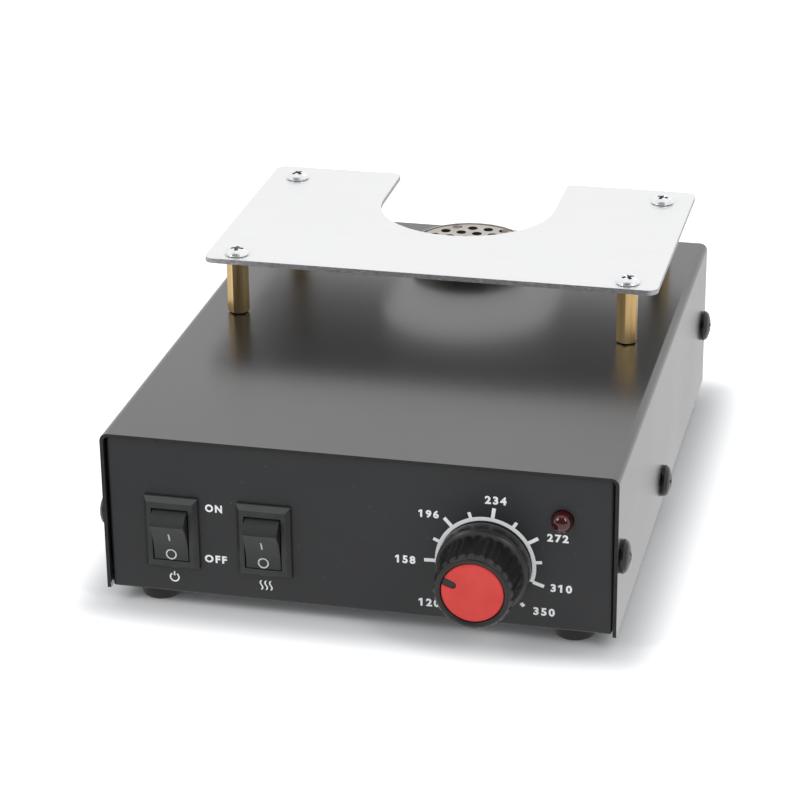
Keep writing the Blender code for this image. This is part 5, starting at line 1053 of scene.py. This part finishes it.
def text(name, words, width, height, place):
    """Printed characters in a wide bold face, centred at place and fitted to a width and height."""
    curve = bpy.data.curves.new(name, "FONT")
    curve.body = words
    curve.size = height / CAP_SHARE
    curve.align_x = "CENTER"
    curve.align_y = "CENTER"
    curve.offset = STROKE * height
    curve.space_character = SPREAD
    curve.extrude = PRINT / 2
    curve.resolution_u = 3
    bm = bmesh.new()
    bm.from_mesh(worked_in(linked(name, curve)))
    bmesh.ops.remove_doubles(bm, verts=bm.verts, dist=NEAR)
    for low, high in narrow_glyphs(bm, height):
        near, far = low.x, low.x - 0.22 * height
        drops = ((near, 0.02), (near, 0.30), (far, 0.42), (far, 0.18))
        flag = [(x, high.y - drop * height) for x, drop in drops]
        prism(bm, flag, -PRINT / 2, PRINT / 2)
    xs = [vert.co.x for vert in bm.verts]
    ys = [vert.co.y for vert in bm.verts]
    middle = Vector(((min(xs) + max(xs)) / 2, (min(ys) + max(ys)) / 2, -PRINT / 2))
    scale_x, scale_y = width / (max(xs) - min(xs)), height / (max(ys) - min(ys))
    for vert in bm.verts:
        vert.co -= middle
        vert.co.x *= scale_x
        vert.co.y *= scale_y
    piece(name, bm, "print_white", place=place, slot="panel_paint")


def tick(angle, low, high, width):
    """The outline of a tick of the dial; its angle runs clockwise from up."""
    turn = Matrix.Rotation(math.radians(-angle), 2)
    return [tuple(turn @ Vector(corner)) for corner in bar(width / 2, low, high)]


def dial_print():
    """The dial's ring, ticks and numbers."""
    place = on_panel(*DIAL)
    flat_print("dial_ring", ring_outlines(RING_INNER, RING_OUTER, *RING_SPAN, 60), place)
    low = RING_OUTER - 0.2 * MM
    marks = [tick(angle, low, 16.5 * MM, 1.0 * MM) for angle in LONG_TICKS]
    marks += [tick(angle, low, 15.2 * MM, 0.9 * MM) for angle in SHORT_TICKS]
    marks.append(tick(LAST_TICK, 14.35 * MM, 15.5 * MM, 1.0 * MM))
    flat_print("dial_ticks", marks, place, PRINT * 1.1)
    for words, (right, up, width) in NUMBERS.items():
        text(f"dial_{words}", words, width * MM, NUMBER_HEIGHT, on_panel(right * MM, up * MM))


def heat_waves():
    """Outlines of three upright waves, each in short slanted pieces."""
    outlines, steps, half_width = [], 12, 0.2
    for offset in (-1.3, 0.0, 1.3):
        points = []
        for step in range(steps + 1):
            turn = 2 * math.pi * step / steps
            points.append((offset + 0.32 * math.sin(turn), -1.4 + 2.8 * step / steps))
        for (x, y), (x2, y2) in zip(points, points[1:]):
            lower = [(x - half_width, y), (x + half_width, y)]
            upper = [(x2 + half_width, y2), (x2 - half_width, y2)]
            outlines.append(in_mm(lower + upper))
    return outlines


def switch_prints():
    """The words beside the switches, and a sign below each."""
    for words, (right, up, width) in WORDS.items():
        text(f"word_{words.lower()}", words, width * MM, WORD_HEIGHT, on_panel(right * MM, up * MM))
    standby = ring_outlines(1.0 * MM, 1.4 * MM, 32, 328, 36)
    standby.append(bar(0.2 * MM, 0.5 * MM, 1.75 * MM))
    flat_print("power_symbol", standby, on_panel(*STANDBY_PLACE))
    flat_print("heat_symbol", heat_waves(), on_panel(*WAVES_PLACE))


camera()
world()
floor()
for name, (place, size, power) in LAMPS.items():
    lamp(name, place, size, power)
dress_cad_nodes()
hardware()
screws()
switches()
knob()
led()
outlet()
dial_print()
switch_prints()

bpy.context.scene.view_settings.view_transform = "Standard"
